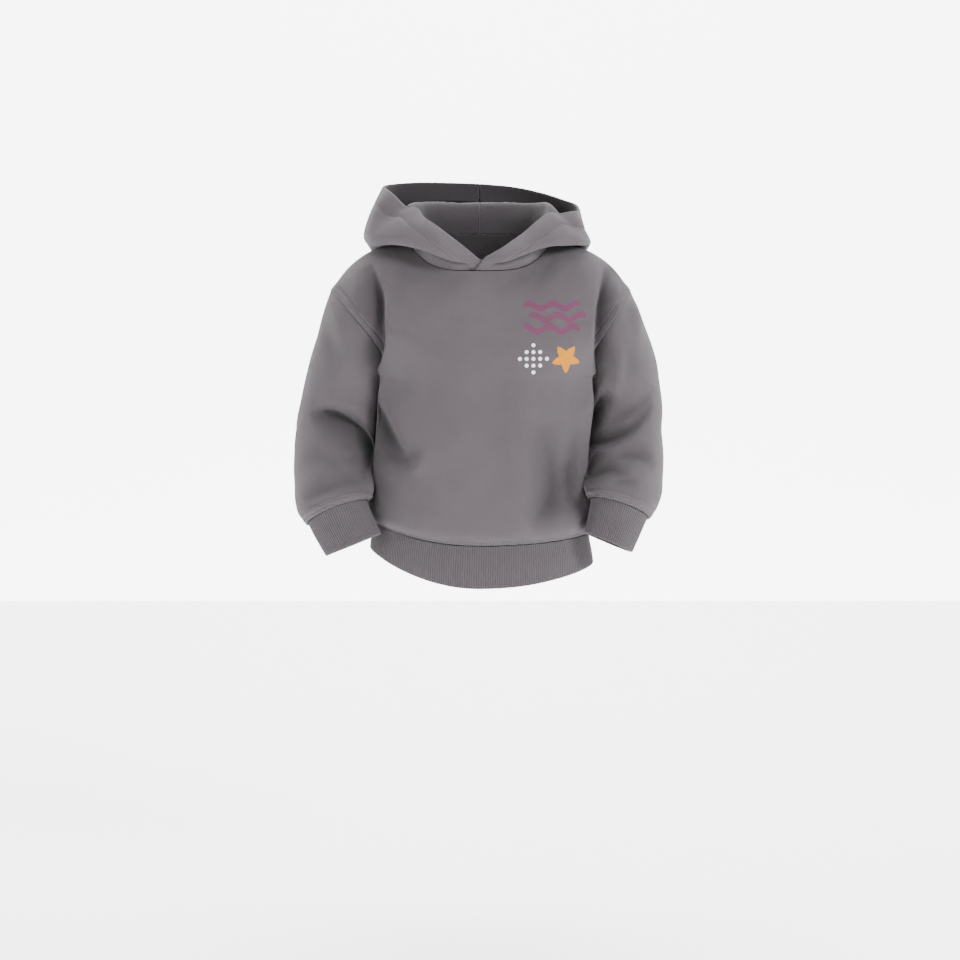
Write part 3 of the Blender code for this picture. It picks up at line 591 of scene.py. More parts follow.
def mean_of_near(field):
    """A grid's values, each averaged with the ones close by."""
    for _ in range(NORMAL_TURNS):
        for axis in (0, 1):
            field = np.moveaxis(field, axis, 0)
            padded = np.concatenate([field[:1], field, field[-1:]])
            field = np.moveaxis((padded[:-2] + 2 * field + padded[2:]) / 4, 0, axis)
    return field


class Cloth:
    """One sewn piece: the grid of its outer face, and how far each point is from its edges."""

    def __init__(self, name, grid, facing):
        self.name = name
        self.facing = facing
        self.grid = grid
        self.measure()
        self.width = self.across - self.across[:, -1:] / 2
        self.length = self.down.copy()
        # painted shade of the creases, from 0 to 1, which darkens the cloth's colour
        self.hollow = np.zeros(grid.shape[:2])

    def measure(self):
        over = np.gradient(self.grid, axis=0)
        along = np.gradient(self.grid, axis=1)
        self.normal = unit(mean_of_near(np.cross(over, along))) * self.facing
        self.down = run(self.grid, 0)
        self.across = run(self.grid, 1)
        self.from_edge = {
            "first": self.down,
            "last": self.down[-1:] - self.down,
            "right": self.across,
            "left": self.across[:, -1:] - self.across,
        }

    def push(self, amount):
        """Moves the cloth out along its normals."""
        self.grid = self.grid + self.normal * amount[..., None]
        self.measure()

    def nearest(self, edges=EDGES):
        """How far each point is from the nearest of some edges."""
        return np.minimum.reduce([self.from_edge[edge] for edge in edges])

    def waver(self, fade, edges=EDGES, share=1.0):
        """Presses the slow waves in; they fade out towards the edges."""
        self.push(share * uneven(self.grid) * ease(0, fade, self.nearest(edges)))

    def lap(self, share=1.0):
        """Stands the body's sides out over the arms; a sleeve follows where it is sewn on."""
        x, y, z = np.moveaxis(self.grid, -1, 0)
        amount = np.zeros_like(x)
        for face, facing in (("front", -1), ("back", 1)):
            for side, sign in (("right", -1), ("left", 1)):
                here = (facing * y > 0) & (sign * x > 0)
                spread = np.exp(-(((facing * y - LAP_PLACE) / LAP_WIDTH) ** 2))
                spread *= ease(0, LAP_WIDTH, facing * y) * ease(*LAP_START, sign * x)
                amount += here * sign * spread * LAPS.at(f"{face}_{side}", z)
        self.grid[..., 0] += amount * share
        self.measure()

    def level(self, middle, reach, turns):
        """Evens the rows round one of them, away from the sides."""
        row = np.arange(len(self.grid))
        weight = ease(0, 1, 1 - np.abs(row - middle) / reach)[1:-1, None]
        inside = self.nearest(("left", "right"))[1:-1]
        weight = (weight * ease(*LEVEL_FADE, inside))[..., None] / 2
        for _ in range(turns):
            mean = (self.grid[:-2] + self.grid[2:]) / 2
            self.grid[1:-1] += weight * (mean - self.grid[1:-1])
        self.measure()

    def soften(self, weight):
        """Moves each point to the middle of its neighbours, by the weight and away from the edges."""
        weight = (weight * ease(0, SOFT_EDGE, self.nearest()))[1:-1, 1:-1, None]
        for _ in range(SOFT_TURNS):
            grid = self.grid
            mean = (grid[:-2, 1:-1] + grid[2:, 1:-1] + grid[1:-1, :-2] + grid[1:-1, 2:]) / 4
            self.grid[1:-1, 1:-1] += weight * (mean - grid[1:-1, 1:-1])
        self.measure()

    def fold(self, folds, seams, across_seams=False):
        """Presses folds in.  They end at the named seams or run across them, alike on both sides."""
        near = ease(0, SEAM_FADE, self.nearest(seams))
        moved = np.zeros_like(self.grid)
        creased = np.zeros(self.grid.shape[:2])
        for view, depth, left, right, tuck, path in read_folds(folds):
            toward, across, upward = (np.array(axis) for axis in VIEWS[view])
            facing = near * ease(*FACING_FADE, self.normal @ toward)
            if across_seams:
                facing += (1 - near) * ease(*SEAM_DEPTHS, self.grid @ toward)
            power = CREASE if depth > 0 else RIDGE
            share, sharper = fold_share(seen(self.grid, view), left, right, power, path)
            share = share * facing
            if depth > SHARP:
                creased = np.maximum(creased, share)
            # a trough also paints shade into the cloth's colour, in full from DARKEST deep
            if depth > 0:
                self.hollow = np.maximum(self.hollow, share ** SHADE_SPREAD * min(1, depth / DARKEST))
            else:
                toward = unit(self.normal * near[..., None] + toward * (1 - near[..., None]))
            moved -= toward * depth * share[..., None]
            moved += (across * sharper[..., :1] + upward * sharper[..., 1:]) * tuck * share[..., None]
        self.grid = self.grid + moved
        self.measure()
        self.soften(ease(*SOFT_SHARE, creased))

    def from_line(self, line, columns):
        """Distances of some columns from a line of points; FAR for the others."""
        away = np.full(self.grid.shape[:2], FAR)
        part = self.grid[:, columns]
        away[:, columns] = np.linalg.norm(part[:, :, None] - denser(line, 4), axis=-1).min(-1)
        return away

    def channel(self, away, distance, depth=CHANNEL):
        """The dip that a row of stitches pulls, and the seam allowance raised between it and the seam."""
        raised = ALLOWANCE * ease(*ALLOWANCE_FROM, away)
        raised = raised * (1 - ease(distance - CHANNEL_WIDTH, distance, away))
        self.push(raised - depth * np.exp(-(((away - distance) / CHANNEL_WIDTH) ** 2)))

    def gather(self, pitch):
        """Small gathers where the cloth is eased into the tighter band below it."""
        phase = 2 * math.pi * self.across / pitch
        phase += sum(far * np.sin(self.across / over) for far, over in GATHER_WANDERS)
        least, more, over, shift = GATHER_SWELLS
        size = GATHER * (least + more * np.sin(self.across / over + shift))
        self.push(size * np.sin(phase) * np.exp(-self.from_edge["last"] / GATHER_REACH))

    def turned(self, edge, *fields):
        """Fields of the grid, turned so that an edge is their first row."""
        for field in fields:
            field = np.swapaxes(field, 0, 1) if edge in ("right", "left") else field
            yield field[::-1] if edge in ("last", "left") else field

    def row(self, away, distance, edge, start=0):
        """Points and normals along the line at a distance, found inward from an edge."""
        away, grid, normal = self.turned(edge, away, self.grid, self.normal)
        after = np.argmax(away >= distance, axis=0)
        along = np.arange(len(after))
        found = (after > 0) & (away[after, along] < FAR) & (along >= start)
        there, before = (after[found], along[found]), (after[found] - 1, along[found])
        share = ((distance - away[before]) / (away[there] - away[before]))[:, None]
        points, ups = (field[before] + share * (field[there] - field[before]) for field in (grid, normal))
        return points, unit(ups)

    def stitch(self, part, distance, edge, away=None, start=0):
        """A row of stitches at a distance from an edge, or from the line that the field away is from."""
        away = self.from_edge[edge] if away is None else away
        return stitches(f"stitches_{self.name}_{part}", *self.row(away, distance, edge, start))

    def border(self, edge):
        """Along an edge: its points, the way on past it, the way out, and two lines behind its wall."""
        grid, normal = self.turned(edge, self.grid, self.normal)
        behind = grid - normal * TURNED_DEPTH
        near, far = TURNED_ROWS
        way_on = unit(grid[0] - grid[near])
        return np.concatenate([grid[0], way_on, normal[near], behind[far], behind[near]], -1)

    def turn_under(self, sewn_to, thick, groove):
        """Adds the allowance before the first row, which lies inside the pieces it is sewn to."""
        close = np.clip(self.from_edge["first"] / (EDGE_ROUND * thick), 0, 1)
        self.push(-SEAM_ROUND * (1 - np.sqrt(1 - (1 - close) ** 2)))
        lines = np.concatenate([denser(PIECES[name].border(edge), 8) for name, edge in sewn_to])
        own, ahead, out = np.split(self.border("first"), 5, -1)[:3]
        nearest = np.linalg.norm(own[:, None] - lines[None, :, :3], axis=-1).argmin(1)
        past, up, far, near = np.split(lines[nearest], 5, -1)[1:]
        rows = [far, near, own + TURNED_LENGTH * (past + ahead) - TURNED_DEPTH / 2 * (up + out)]
        self.grid = np.concatenate([rows, self.grid])

        def longer(field, value=None):
            first = field[:1] if value is None else np.full_like(field[:1], value)
            return np.concatenate([np.repeat(first, len(rows), 0), field])

        for name in ("width", "hollow", "length"):
            setattr(self, name, longer(getattr(self, name)))
        self.measure()
        return longer(thick, TURNED_THICKNESS), None if groove is None else longer(groove)

    def build(self, thickness, materials, groove=None, sewn_to=None, blunt=()):
        """The closed wall, with an inside of its own material.

        Its edges are rounded, but for blunt ones, which only dip where they meet another piece.
        """
        for edge in blunt:
            self.push(-SEAM_DIP * np.exp(-((self.from_edge[edge] / SEAM_DIP) ** 2)))
        thick = np.broadcast_to(np.asarray(thickness, float), self.grid.shape[:2])
        if sewn_to:
            thick, groove = self.turn_under(sewn_to, thick, groove)
        nearest = self.nearest([edge for edge in EDGES if edge not in blunt])
        rounded = np.clip(nearest / (EDGE_ROUND * thick), 0, 1)
        half = thick / 2 * np.maximum(np.sqrt(1 - (1 - rounded) ** 2), EDGE_LEFT)
        centre = self.grid - self.normal * thick[..., None] / 2
        outer = centre + self.normal * half[..., None]
        inner = centre - self.normal * half[..., None]
        index = numbered(outer)
        quads = cells(index)
        layer = index.size
        loop = np.concatenate([index[0, :-1], index[:-1, -1], index[-1, :0:-1], index[:0:-1, 0]])
        after = np.roll(loop, -1)
        rim = np.stack([loop, after, layer + after, layer + loop], -1)
        faces = np.concatenate([quads, layer + quads[:, ::-1], rim])
        if self.facing < 0:
            faces = faces[:, ::-1]
        points = np.concatenate([outer.reshape(-1, 3), inner.reshape(-1, 3)])
        made = quad_mesh(self.name + "_cloth", points, faces)
        kinds = np.zeros(len(faces), np.int32)
        kinds[len(quads):2 * len(quads)] = 1
        made.data.polygons.foreach_set("material_index", kinds)
        for material in materials:
            made.data.materials.append(material)
        place = np.stack([self.width, self.length, nearest], -1).reshape(-1, 3)
        mark(made, "cloth", "FLOAT_VECTOR", np.concatenate([place, place]))
        # the painted shade of the creases, by which the material darkens the colour
        mark(made, "hollow", "FLOAT", np.concatenate([self.hollow.ravel()] * 2))
        # how deep the rib grooves are, which the material also darkens as painted shade
        if groove is not None:
            mark(made, "groove", "FLOAT", np.concatenate([groove.ravel()] * 2))
        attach(made, "root")
        self.outer, self.made = outer, made


def numbered(grid):
    """The numbers of a grid's points."""
    return np.arange(grid[..., 0].size).reshape(grid.shape[:2])


def cells(index):
    """The corners of each cell of a grid of numbered points."""
    return np.stack([index[:-1, :-1], index[1:, :-1], index[1:, 1:], index[:-1, 1:]], -1).reshape(-1, 4)


def placed(name, data):
    """A new object in the scene."""
    made = bpy.data.objects.new(name, data)
    bpy.context.scene.collection.objects.link(made)
    return made


def quad_mesh(name, points, faces):
    """A smooth mesh object from arrays of points in millimetres and of quads."""
    mesh = bpy.data.meshes.new(name)
    mesh.vertices.add(len(points))
    mesh.vertices.foreach_set("co", (points * MM).astype(np.float32).ravel())
    mesh.loops.add(faces.size)
    mesh.loops.foreach_set("vertex_index", faces.astype(np.int32).ravel())
    mesh.polygons.add(len(faces))
    mesh.polygons.foreach_set("loop_start", np.arange(0, faces.size, 4, dtype=np.int32))
    mesh.update(calc_edges=True)
    mesh.validate()
    mesh.shade_smooth()
    return placed(name, mesh)


def mark(made, name, kind, values):
    """Stores a value at each point of a mesh, for its material to read."""
    layer = made.data.attributes.new(name, kind, "POINT")
    key = "vector" if kind == "FLOAT_VECTOR" else "value"
    layer.data.foreach_set(key, np.asarray(values, np.float32).ravel())


# A stitch's rings: their places along it, radii and heights, in shares of its length and thickness.
STITCH_FORM = [(-0.5, 0.25, -0.35), (-0.42, 0.8, -0.1), (-0.2, 1, 0.1),
               (0.2, 1, 0.1), (0.42, 0.8, -0.1), (0.5, 0.25, -0.35)]
STITCH_SIDES = 6


def stitches(name, points, ups):
    """A row of thread stitches along a line on the cloth."""
    arc = run(points)
    count = int(arc[-1] / (STITCH + STITCH_GAP))
    middles = (np.arange(count) + 0.5) * arc[-1] / count
    ahead = read_along(points, arc, middles + STITCH / 2) - read_along(points, arc, middles - STITCH / 2)
    ahead, up = unit(ahead), unit(read_along(ups, arc, middles))
    aside = unit(np.cross(ahead, up))
    up = np.cross(aside, ahead)
    along, swell, lift = np.array(STITCH_FORM).T * [[STITCH], [THREAD / 2], [THREAD]]
    turn = np.arange(STITCH_SIDES) * 2 * math.pi / STITCH_SIDES
    round_up = np.cos(turn) * swell[:, None] + lift[:, None]
    round_aside = np.sin(turn) * swell[:, None]
    corners = (
        read_along(points, arc, middles)[:, None, None]
        + ahead[:, None, None] * along[None, :, None, None]
        + up[:, None, None] * round_up[None, :, :, None]
        + aside[:, None, None] * round_aside[None, :, :, None]
    )
    index = np.arange(corners[..., 0].size).reshape(corners.shape[:3])
    turned = np.roll(index, -1, 2)
    walls = np.stack([index[:, :-1], turned[:, :-1], turned[:, 1:], index[:, 1:]], -1).reshape(-1, 4)
    caps = np.concatenate([
        index[:, 0, [3, 2, 1, 0]], index[:, 0, [0, 5, 4, 3]],
        index[:, -1, [0, 1, 2, 3]], index[:, -1, [3, 4, 5, 0]],
    ])
    made = quad_mesh(name, corners.reshape(-1, 3), np.concatenate([walls, caps]))
    made.data.materials.append(TOPSTITCH)
    place = np.zeros(corners.shape)
    place[..., 0] = along[None, :, None] + middles[:, None, None]
    place[..., 1] = turn * THREAD / 2
    mark(made, "cloth", "FLOAT_VECTOR", place)
    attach(made, "root")
    return made


# ------ materials
def connect(tree, node, inputs):
    """Sets a node's inputs to values or to other nodes' outputs."""
    for name, value in inputs.items():
        if isinstance(value, bpy.types.NodeSocket):
            tree.links.new(value, node.inputs[name])
        else:
            node.inputs[name].default_value = value


def add(tree, kind, inputs, **settings):
    """A new node's first output."""
    made = tree.nodes.new(kind)
    for name, value in settings.items():
        setattr(made, name, value)
    connect(tree, made, inputs)
    return made.outputs[0]


def sum_of(tree, operation, first, second=0.0, third=0.0):
    return add(tree, "ShaderNodeMath", {0: first, 1: second, 2: third}, operation=operation)


def noise(tree, place, stretch, scale, detail, **more):
    """Noise over the cloth, stretched along it."""
    long = add(tree, "ShaderNodeMapping", {"Vector": place, "Scale": (1.0, stretch, 1.0)})
    return add(tree, "ShaderNodeTexNoise", {"Vector": long, "Scale": scale, "Detail": detail, **more})


def group(name, values, result):
    """An empty node group: the place on the cloth and named values go in, and one result comes out."""
    tree = bpy.data.node_groups.new(name, "ShaderNodeTree")
    tree.interface.new_socket("Place", in_out="INPUT", socket_type="NodeSocketVector")
    for label, value in values.items():
        tree.interface.new_socket(label, in_out="INPUT", socket_type="NodeSocketFloat").default_value = value
    tree.interface.new_socket(result, in_out="OUTPUT", socket_type="NodeSocketFloat")
    given, made = tree.nodes.new("NodeGroupInput"), tree.nodes.new("NodeGroupOutput")
    return tree, given.outputs, made.inputs[result]


def jersey_group():
    """Loops of fine jersey knit, as a height, from the place on the cloth in millimetres."""
    tree, given, made = group("jersey_loops", {"Wale": 1.1, "Course": 0.9}, "Height")
    split = tree.nodes.new("ShaderNodeSeparateXYZ")
    tree.links.new(given["Place"], split.inputs[0])
    column = sum_of(tree, "FRACT", sum_of(tree, "DIVIDE", split.outputs[0], given["Wale"]))
    middle = sum_of(tree, "ABSOLUTE", sum_of(tree, "SUBTRACT", column, 0.5))
    legs = sum_of(tree, "ABSOLUTE", sum_of(tree, "SUBTRACT", middle, 0.25))
    legs = sum_of(tree, "MULTIPLY_ADD", legs, -4.0, 1.0)
    row = sum_of(tree, "DIVIDE", split.outputs[1], given["Course"])
    row = sum_of(tree, "MULTIPLY_ADD", middle, 1.3, row)
    loop = sum_of(tree, "SINE", sum_of(tree, "MULTIPLY", sum_of(tree, "FRACT", row), math.pi))
    loop = sum_of(tree, "MULTIPLY_ADD", loop, 0.6, 0.4)
    tree.links.new(sum_of(tree, "MULTIPLY", legs, loop), made)
    return tree


def fuzz_group():
    """Brushed fibres: fine noise stretched a little, as a height."""
    tree, given, made = group("brushed_fibres", {"Scale": 1.2}, "Height")
    tree.links.new(noise(tree, given["Place"], 0.55, given["Scale"], 4.0, Roughness=0.65), made)
    return tree


def dye_group():
    """Uneven dye: broad clouds and single lighter fibres, as a shade round 1."""
    tree, given, made = group("uneven_dye", {"Clouds": 0.06, "Fibres": 0.08}, "Shade")
    clouds = add(tree, "ShaderNodeTexNoise", {"Vector": given["Place"], "Scale": 0.035, "Detail": 3.0})
    fibres = noise(tree, given["Place"], 0.35, 0.8, 2.0)
    shade = sum_of(tree, "MULTIPLY", sum_of(tree, "SUBTRACT", clouds, 0.5), given["Clouds"])
    fine = sum_of(tree, "MULTIPLY", sum_of(tree, "SUBTRACT", fibres, 0.5), given["Fibres"])
    shade = sum_of(tree, "MULTIPLY_ADD", sum_of(tree, "ADD", shade, fine), 2.0, 1.0)
    tree.links.new(shade, made)
    return tree


def mask(tree, name):
    """What is stored on the cloth under a name: its place, or a mask."""
    made = tree.nodes.new("ShaderNodeAttribute")
    made.attribute_name = name
    return made.outputs["Vector" if name == "cloth" else "Fac"]


def new_material(name):
    """A material, its node tree and its shader."""
    made = bpy.data.materials.new(name)
    made.use_nodes = True
    return made, made.node_tree, made.node_tree.nodes["Principled BSDF"]


def fabric(name, colour, roughness, sheen, knit=0.0, fuzz=0.0, fuzz_scale=1.2, loop=(1.1, 0.9), **painted_shades):
    """A cloth material: dyed colour, knit loops and brushed fibres in its bump, and a soft sheen.

    The values left over name masks on the cloth that darken its colour as painted shade, and the shade where
    they are full.
    """
    made, tree, shader = new_material(name)
    place = mask(tree, "cloth")

    def use(kit, **inputs):
        return add(tree, "ShaderNodeGroup", {"Place": place, **inputs}, node_tree=KITS[kit])

    shade = use("dye", Clouds=DYE_CLOUDS, Fibres=DYE_FIBRES)
    # painted shade: the colour darkened by each mask, down to its darkest where the mask is full
    for dim, darkest in painted_shades.items():
        dimmed = sum_of(tree, "MULTIPLY_ADD", mask(tree, dim), darkest - 1, 1.0)
        shade = sum_of(tree, "MULTIPLY", shade, dimmed)
    heights = sum_of(tree, "MULTIPLY", use("fuzz", Scale=fuzz_scale), fuzz)
    if knit:
        heights = sum_of(tree, "MULTIPLY_ADD", use("jersey", Wale=loop[0], Course=loop[1]), knit, heights)
    connect(tree, shader, {
        "Base Color": add(tree, "ShaderNodeVectorMath", {0: colour, "Scale": shade}, operation="SCALE"),
        "Normal": add(tree, "ShaderNodeBump", {"Height": heights, "Strength": 1.0, "Distance": MM}),
        "Roughness": roughness, "Specular IOR Level": 0.2, "Sheen Weight": sheen, "Sheen Roughness": 0.55,
    })
    return made


DYE_CLOUDS, DYE_FIBRES = 0.06, 0.08
KITS = {"jersey": jersey_group(), "fuzz": fuzz_group(), "dye": dye_group()}
CHARCOAL_MAUVE = (0.0600, 0.0510, 0.0570)
# The face's colour is darkened in the creases as painted shade, down to 0.28 of it.
FACE = fabric("fleece_face", CHARCOAL_MAUVE, 0.92, 0.10, knit=0.16, fuzz=0.10, hollow=0.28)
# The inside is the same fleece, brushed, with its colour at half the face's as painted shade inside the
# garment.
INSIDE = fabric("fleece_brushed_painted_shade", (0.030, 0.026, 0.029), 0.96, 0.10, fuzz=0.55, fuzz_scale=0.8)
# The rib's colour is darkened in its grooves as painted shade, down to 0.55 of it.
RIB = fabric("rib_knit", (0.058, 0.0495, 0.0552), 0.93, 0.15, knit=0.12, fuzz=0.08, loop=(0.8, 0.8),
             groove=0.55)
TOPSTITCH = fabric("topstitch_thread", (0.105, 0.092, 0.101), 0.7, 0.1, fuzz=0.1, fuzz_scale=4.0)


# ------ making the garment
PIECES = {}
# How the rows are evened where they end at the shoulder tips and at the underarms: reach and turns.
TIP_ROWS, TIP_TURNS = 14, 80
LEVEL_ROWS, LEVEL_TURNS = {"front": 16, "back": 28}, 300
OFF_PLANE = 2.0
SIDE_COLUMNS = 45           # those near enough to an armhole for its stitches
BODY_FADE, HOOD_FADE, BAND_FADE, BAND_WAVES = 15, 25, 10, 0.5


def declare(piece, slot, width, length, area, with_pieces):
    """Hides the solid that a piece stands for and keeps the piece by its name; its slot, its cut sizes in
    metres and the pieces with it are not used.
    """
    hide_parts(piece.name)
    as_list(with_pieces)
    PIECES[piece.name] = piece


for back, name in enumerate(("front", "back")):
    piece = Cloth(name, panel(back), -1 if back else 1)
    piece.grid[..., 1] += (SEAM_GAP / 2) * (1 if back else -1)
    piece.measure()
    # the rows whose ends lie on the armhole, off the plane of the side seams
    low, *_, high = np.nonzero(np.abs(piece.grid[:, 0, 1]) > OFF_PLANE)[0]
    high += 1
    piece.level(low, TIP_ROWS, TIP_TURNS)
    piece.level(high, LEVEL_ROWS[name], LEVEL_TURNS)
    piece.lap()
    piece.fold(FOLDS["armholes"], ("left", "right"), across_seams=True)
    piece.fold(FOLDS[name], EDGES)
    piece.waver(BODY_FADE)
    armholes = {}
    for edge, column, near in (("right", 0, slice(SIDE_COLUMNS)), ("left", -1, slice(-SIDE_COLUMNS, None))):
        armholes[edge] = piece.from_line(piece.grid[low:high, column], near)
        piece.channel(armholes[edge], ARMHOLE_STITCHES)
    piece.channel(piece.from_edge["last"], HEM_STITCHES)
    piece.gather(HEM_GATHER)
    piece.build(FLEECE, [FACE, INSIDE], blunt=["left", "right"])
    rows = [piece.stitch("armhole_" + edge, ARMHOLE_STITCHES, edge, away, low + 1)
            for edge, away in armholes.items()]
    rows.append(piece.stitch("hem", HEM_STITCHES, "last"))
    declare(piece, "fleece", 0.34, 0.33, 0.096, rows)

for side, facing in (("right", 1), ("left", -1)):
    piece = Cloth("sleeve_" + side, sleeve(side), facing)
    piece.lap(1 - ease(0, LAP_FOLLOWS, piece.from_edge["first"]))
    piece.fold(FOLDS["armholes"], ("first",), across_seams=True)
    piece.fold(FOLDS[piece.name], ("first", "last"))
    piece.waver(BODY_FADE, ("first", "last"))
    piece.push(CUFF_LIP * (1 - ease(*CUFF_LIP_FADE, piece.from_edge["last"])))
    for distance in CUFF_STITCHES:
        piece.channel(piece.from_edge["last"], distance, CUFF_CHANNEL)
    piece.gather(CUFF_GATHER)
    rows = [piece.stitch(f"cuff_{i + 1}", distance, "last") for i, distance in enumerate(CUFF_STITCHES)]
    piece.build(FLEECE, [FACE, INSIDE], sewn_to=[("front", side), ("back", side)])
    declare(piece, "fleece", 0.29, 0.24, 0.058, rows)

for side, facing in (("right", -1), ("left", 1)):
    piece = Cloth("hood_" + side, hood(side), facing)
    piece.waver(HOOD_FADE)
    hem = 1 - ease(HOOD_HEM_DEPTH - CHANNEL_WIDTH, HOOD_HEM_DEPTH + CHANNEL_WIDTH, piece.from_edge["left"])
    piece.channel(piece.from_edge["left"], HOOD_HEM_DEPTH)
    rows = [piece.stitch("hem", HOOD_HEM_DEPTH, "left"), piece.stitch("centre", CENTRE_STITCHES, "last")]
    piece.build(FLEECE + HOOD_HEM * hem, [FACE, INSIDE], blunt=["last"])
    declare(piece, "fleece", 0.24, 0.28, 0.056, rows)

HEM_FORM, CUFF_FORM = (HEM_SEAM, HEM_BAND_STEPS, HEM_RIBS), (SLEEVE_END, CUFF_STEPS, CUFF_RIBS)
for name, facing, ring, form, flat, above in (
        ("hem_band", 1, hem_ring, HEM_FORM, (0.66, 0.040), ("front", "back")),
        ("cuff_right", 1, cuff_ring("right"), CUFF_FORM, (0.20, 0.042), ("sleeve_right",)),
        ("cuff_left", -1, cuff_ring("left"), CUFF_FORM, (0.20, 0.042), ("sleeve_left",))):
    piece = Cloth(name, band(ring, *form), facing)
    piece.waver(BAND_FADE, ("first",), BAND_WAVES)
    turn = np.arange(piece.grid.shape[1]) * 2 * math.pi / POINTS_PER_RIB
    # how deep each point lies in a groove between the ribs; also the mask of their painted shade
    groove = np.broadcast_to(1 - (0.5 + 0.5 * np.cos(turn)) ** RIB_FLATNESS, piece.grid.shape[:2])
    piece.grid = piece.grid - piece.normal * (RIB_RAISE * groove)[..., None]
    piece.build(RIB_BAND - 2 * RIB_RAISE * groove, [RIB, RIB], groove, [(other, "last") for other in above])
    declare(piece, "rib_knit", *flat, None, [])

# ------ print on the chest
INK_LIFT = 0.12
WAVES_PRINTED = [(42, -54, 0.0), (48, -65, 0.5), (42, -76, 1.0)]   # left end, height and phase of each
WAVE_LENGTH, WAVE_WIDTH, WAVE_RISE, WAVE_COUNT = 56.0, 6.0, 2.6, 2.4
STAR_PLACE, STAR_TIP, STAR_DENT, STAR_CURVE, STAR_POINTS = (84.0, -105.0), 14.5, 7.1, 1.25, 5
DOT_PLACE, DOT_PITCH, DOT_SIZE, DOT_ROWS = (52.0, -105.0), 6.6, 1.9, 2
DISC_HOLE, DISC_RINGS = 0.02, 6         # a pinhole in the middle keeps its cells four-sided
WAVE_BLUNT = 14                         # how squarely a wave's ends are cut

front = PIECES["front"].outer
FRONT_FACE = BVHTree.FromPolygons(front.reshape(-1, 3).tolist(), cells(numbered(front)).tolist())


def printed(name, patches, ink, colour):
    """Ink on the front: grids of places across and up, laid on the cloth."""
    points, faces = [], []
    for patch in patches:
        faces.append(cells(len(points) + numbered(patch)))
        for x, z in patch.reshape(-1, 2):
            hit, out = FRONT_FACE.ray_cast(Vector((x, -300.0, z)), Vector((0.0, 1.0, 0.0)))[:2]
            points.append(hit + (out if out.y < 0 else -out) * INK_LIFT)
    points = np.array(points)
    made = quad_mesh(name, points, np.concatenate(faces))
    made.data.materials.append(fabric(ink, colour, 0.8, 0.05, knit=0.1, fuzz=0.06))
    mark(made, "cloth", "FLOAT_VECTOR", points[:, [0, 2, 1]])
    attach(made, "root")


def disc(place, radius, turn):
    """A round or star-shaped patch: its radius at each turn."""
    reach = np.linspace(DISC_HOLE, 1, DISC_RINGS)[:, None] * radius
    return np.stack([place[0] + reach * np.cos(turn), place[1] + reach * np.sin(turn)], -1)


waves = []
for x, z, phase in WAVES_PRINTED:
    along = np.linspace(0, 1, 70)[:, None]
    half = WAVE_WIDTH / 2 * np.sqrt(1 - np.minimum(0.98, np.abs(2 * along - 1) ** WAVE_BLUNT))
    up = WAVE_RISE * np.sin(WAVE_COUNT * 2 * math.pi * along + phase) + half * np.linspace(-1, 1, 4)
    waves.append(np.stack([x + WAVE_LENGTH * along + 0 * up, z + up], -1))
turn = np.linspace(0, 2 * math.pi, 101)
tooth = np.abs(((turn + math.pi / 2) * STAR_POINTS / math.pi) % 2 - 1)
star = disc(STAR_PLACE, STAR_DENT + (STAR_TIP - STAR_DENT) * tooth ** STAR_CURVE, turn)
dots = [disc((DOT_PLACE[0] + DOT_PITCH * i, DOT_PLACE[1] + DOT_PITCH * j), DOT_SIZE, turn[::4])
        for i in range(-DOT_ROWS, DOT_ROWS + 1) for j in range(-DOT_ROWS, DOT_ROWS + 1)
        if abs(i) + abs(j) <= DOT_ROWS]
printed("print_waves", waves, "ink_purple", (0.085, 0.024, 0.054))
printed("print_star", [star], "ink_yellow", (0.40, 0.150, 0.002))
printed("print_dots", dots, "ink_white", (0.58, 0.58, 0.58))

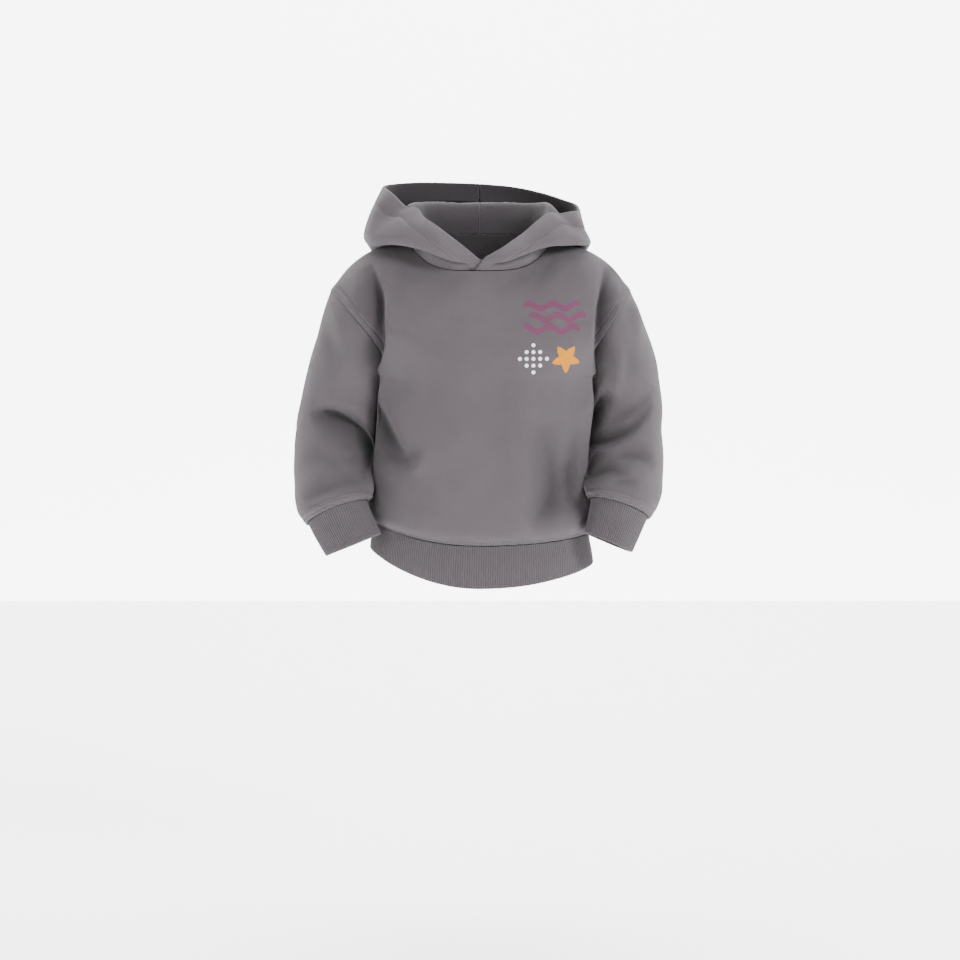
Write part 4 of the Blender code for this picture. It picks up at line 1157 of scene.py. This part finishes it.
# ------ floor, light and camera
# The studio: a pale floor, and a glowing paper wall that curves up from it far behind.
WALL = [(2.6, 0.0), (3.1, 0.1), (3.5, 0.35), (3.8, 0.8), (3.95, 1.4), (4.0, 2.2), (4.0, 9.0)]
HALF_WIDTH, FLOOR_FRONT = 9.0, -9.0
PAPER, WHITE = (0.86, 0.86, 0.86, 1.0), (1.0, 1.0, 1.0, 1.0)


def staged(name, profile, glow):
    """A wide pale surface through a profile of its distances back and heights."""
    mesh = bpy.data.meshes.new(name)
    corners = [(x, y, z + FLOOR_HEIGHT * MM) for y, z in profile for x in (-HALF_WIDTH, HALF_WIDTH)]
    mesh.from_pydata(corners, [], [(i, i + 1, i + 3, i + 2) for i in range(0, 2 * len(profile) - 2, 2)])
    mesh.shade_smooth()
    paper, tree, shader = new_material(name)
    connect(tree, shader, {
        "Base Color": PAPER, "Roughness": 0.9, "Emission Color": WHITE, "Emission Strength": glow,
    })
    mesh.materials.append(paper)
    placed(name, mesh)


def aimed(name, data, place, target):
    """A light or the camera, in its place and turned to its target."""
    holder = placed(name, data)
    holder.location = place
    holder.rotation_euler = (Vector(target) - Vector(place)).to_track_quat("-Z", "Y").to_euler()
    return holder


staged("pale_floor", [(FLOOR_FRONT, 0.0), WALL[0]], 1.4)
staged("paper_wall", WALL, 4.2)

world = bpy.data.worlds.new("studio")
world.use_nodes = True
connect(world.node_tree, world.node_tree.nodes["Background"], {"Color": WHITE, "Strength": 0.25})
bpy.context.scene.world = world

AIM = Vector((0.0, 0.0, AIM_HEIGHT * MM))
# Softboxes: place, what they point at, size and power.
SOFTBOXES = {
    "key": ((1.9, -2.3, 1.3), AIM, 0.9, 165.0),
    "fill": ((-1.7, -2.8, 0.7), AIM, 1.3, 78.0),
    "top": ((0.1, 0.2, 2.4), AIM, 1.4, 15.0),
    "wall": ((0.0, 1.2, 2.6), (0.0, 2.6, -0.6), 2.4, 260.0),
}
for name, (place, target, size, power) in SOFTBOXES.items():
    light = bpy.data.lights.new(name, "AREA")
    light.size = size
    light.energy = power
    aimed(name, light, place, target)

camera = bpy.data.cameras.new("camera")
camera.angle = 2 * math.atan(FRAME_HALF / EYE_DISTANCE)
bpy.context.scene.camera = aimed("camera", camera, (0.0, -EYE_DISTANCE * MM, EYE_HEIGHT * MM), AIM)
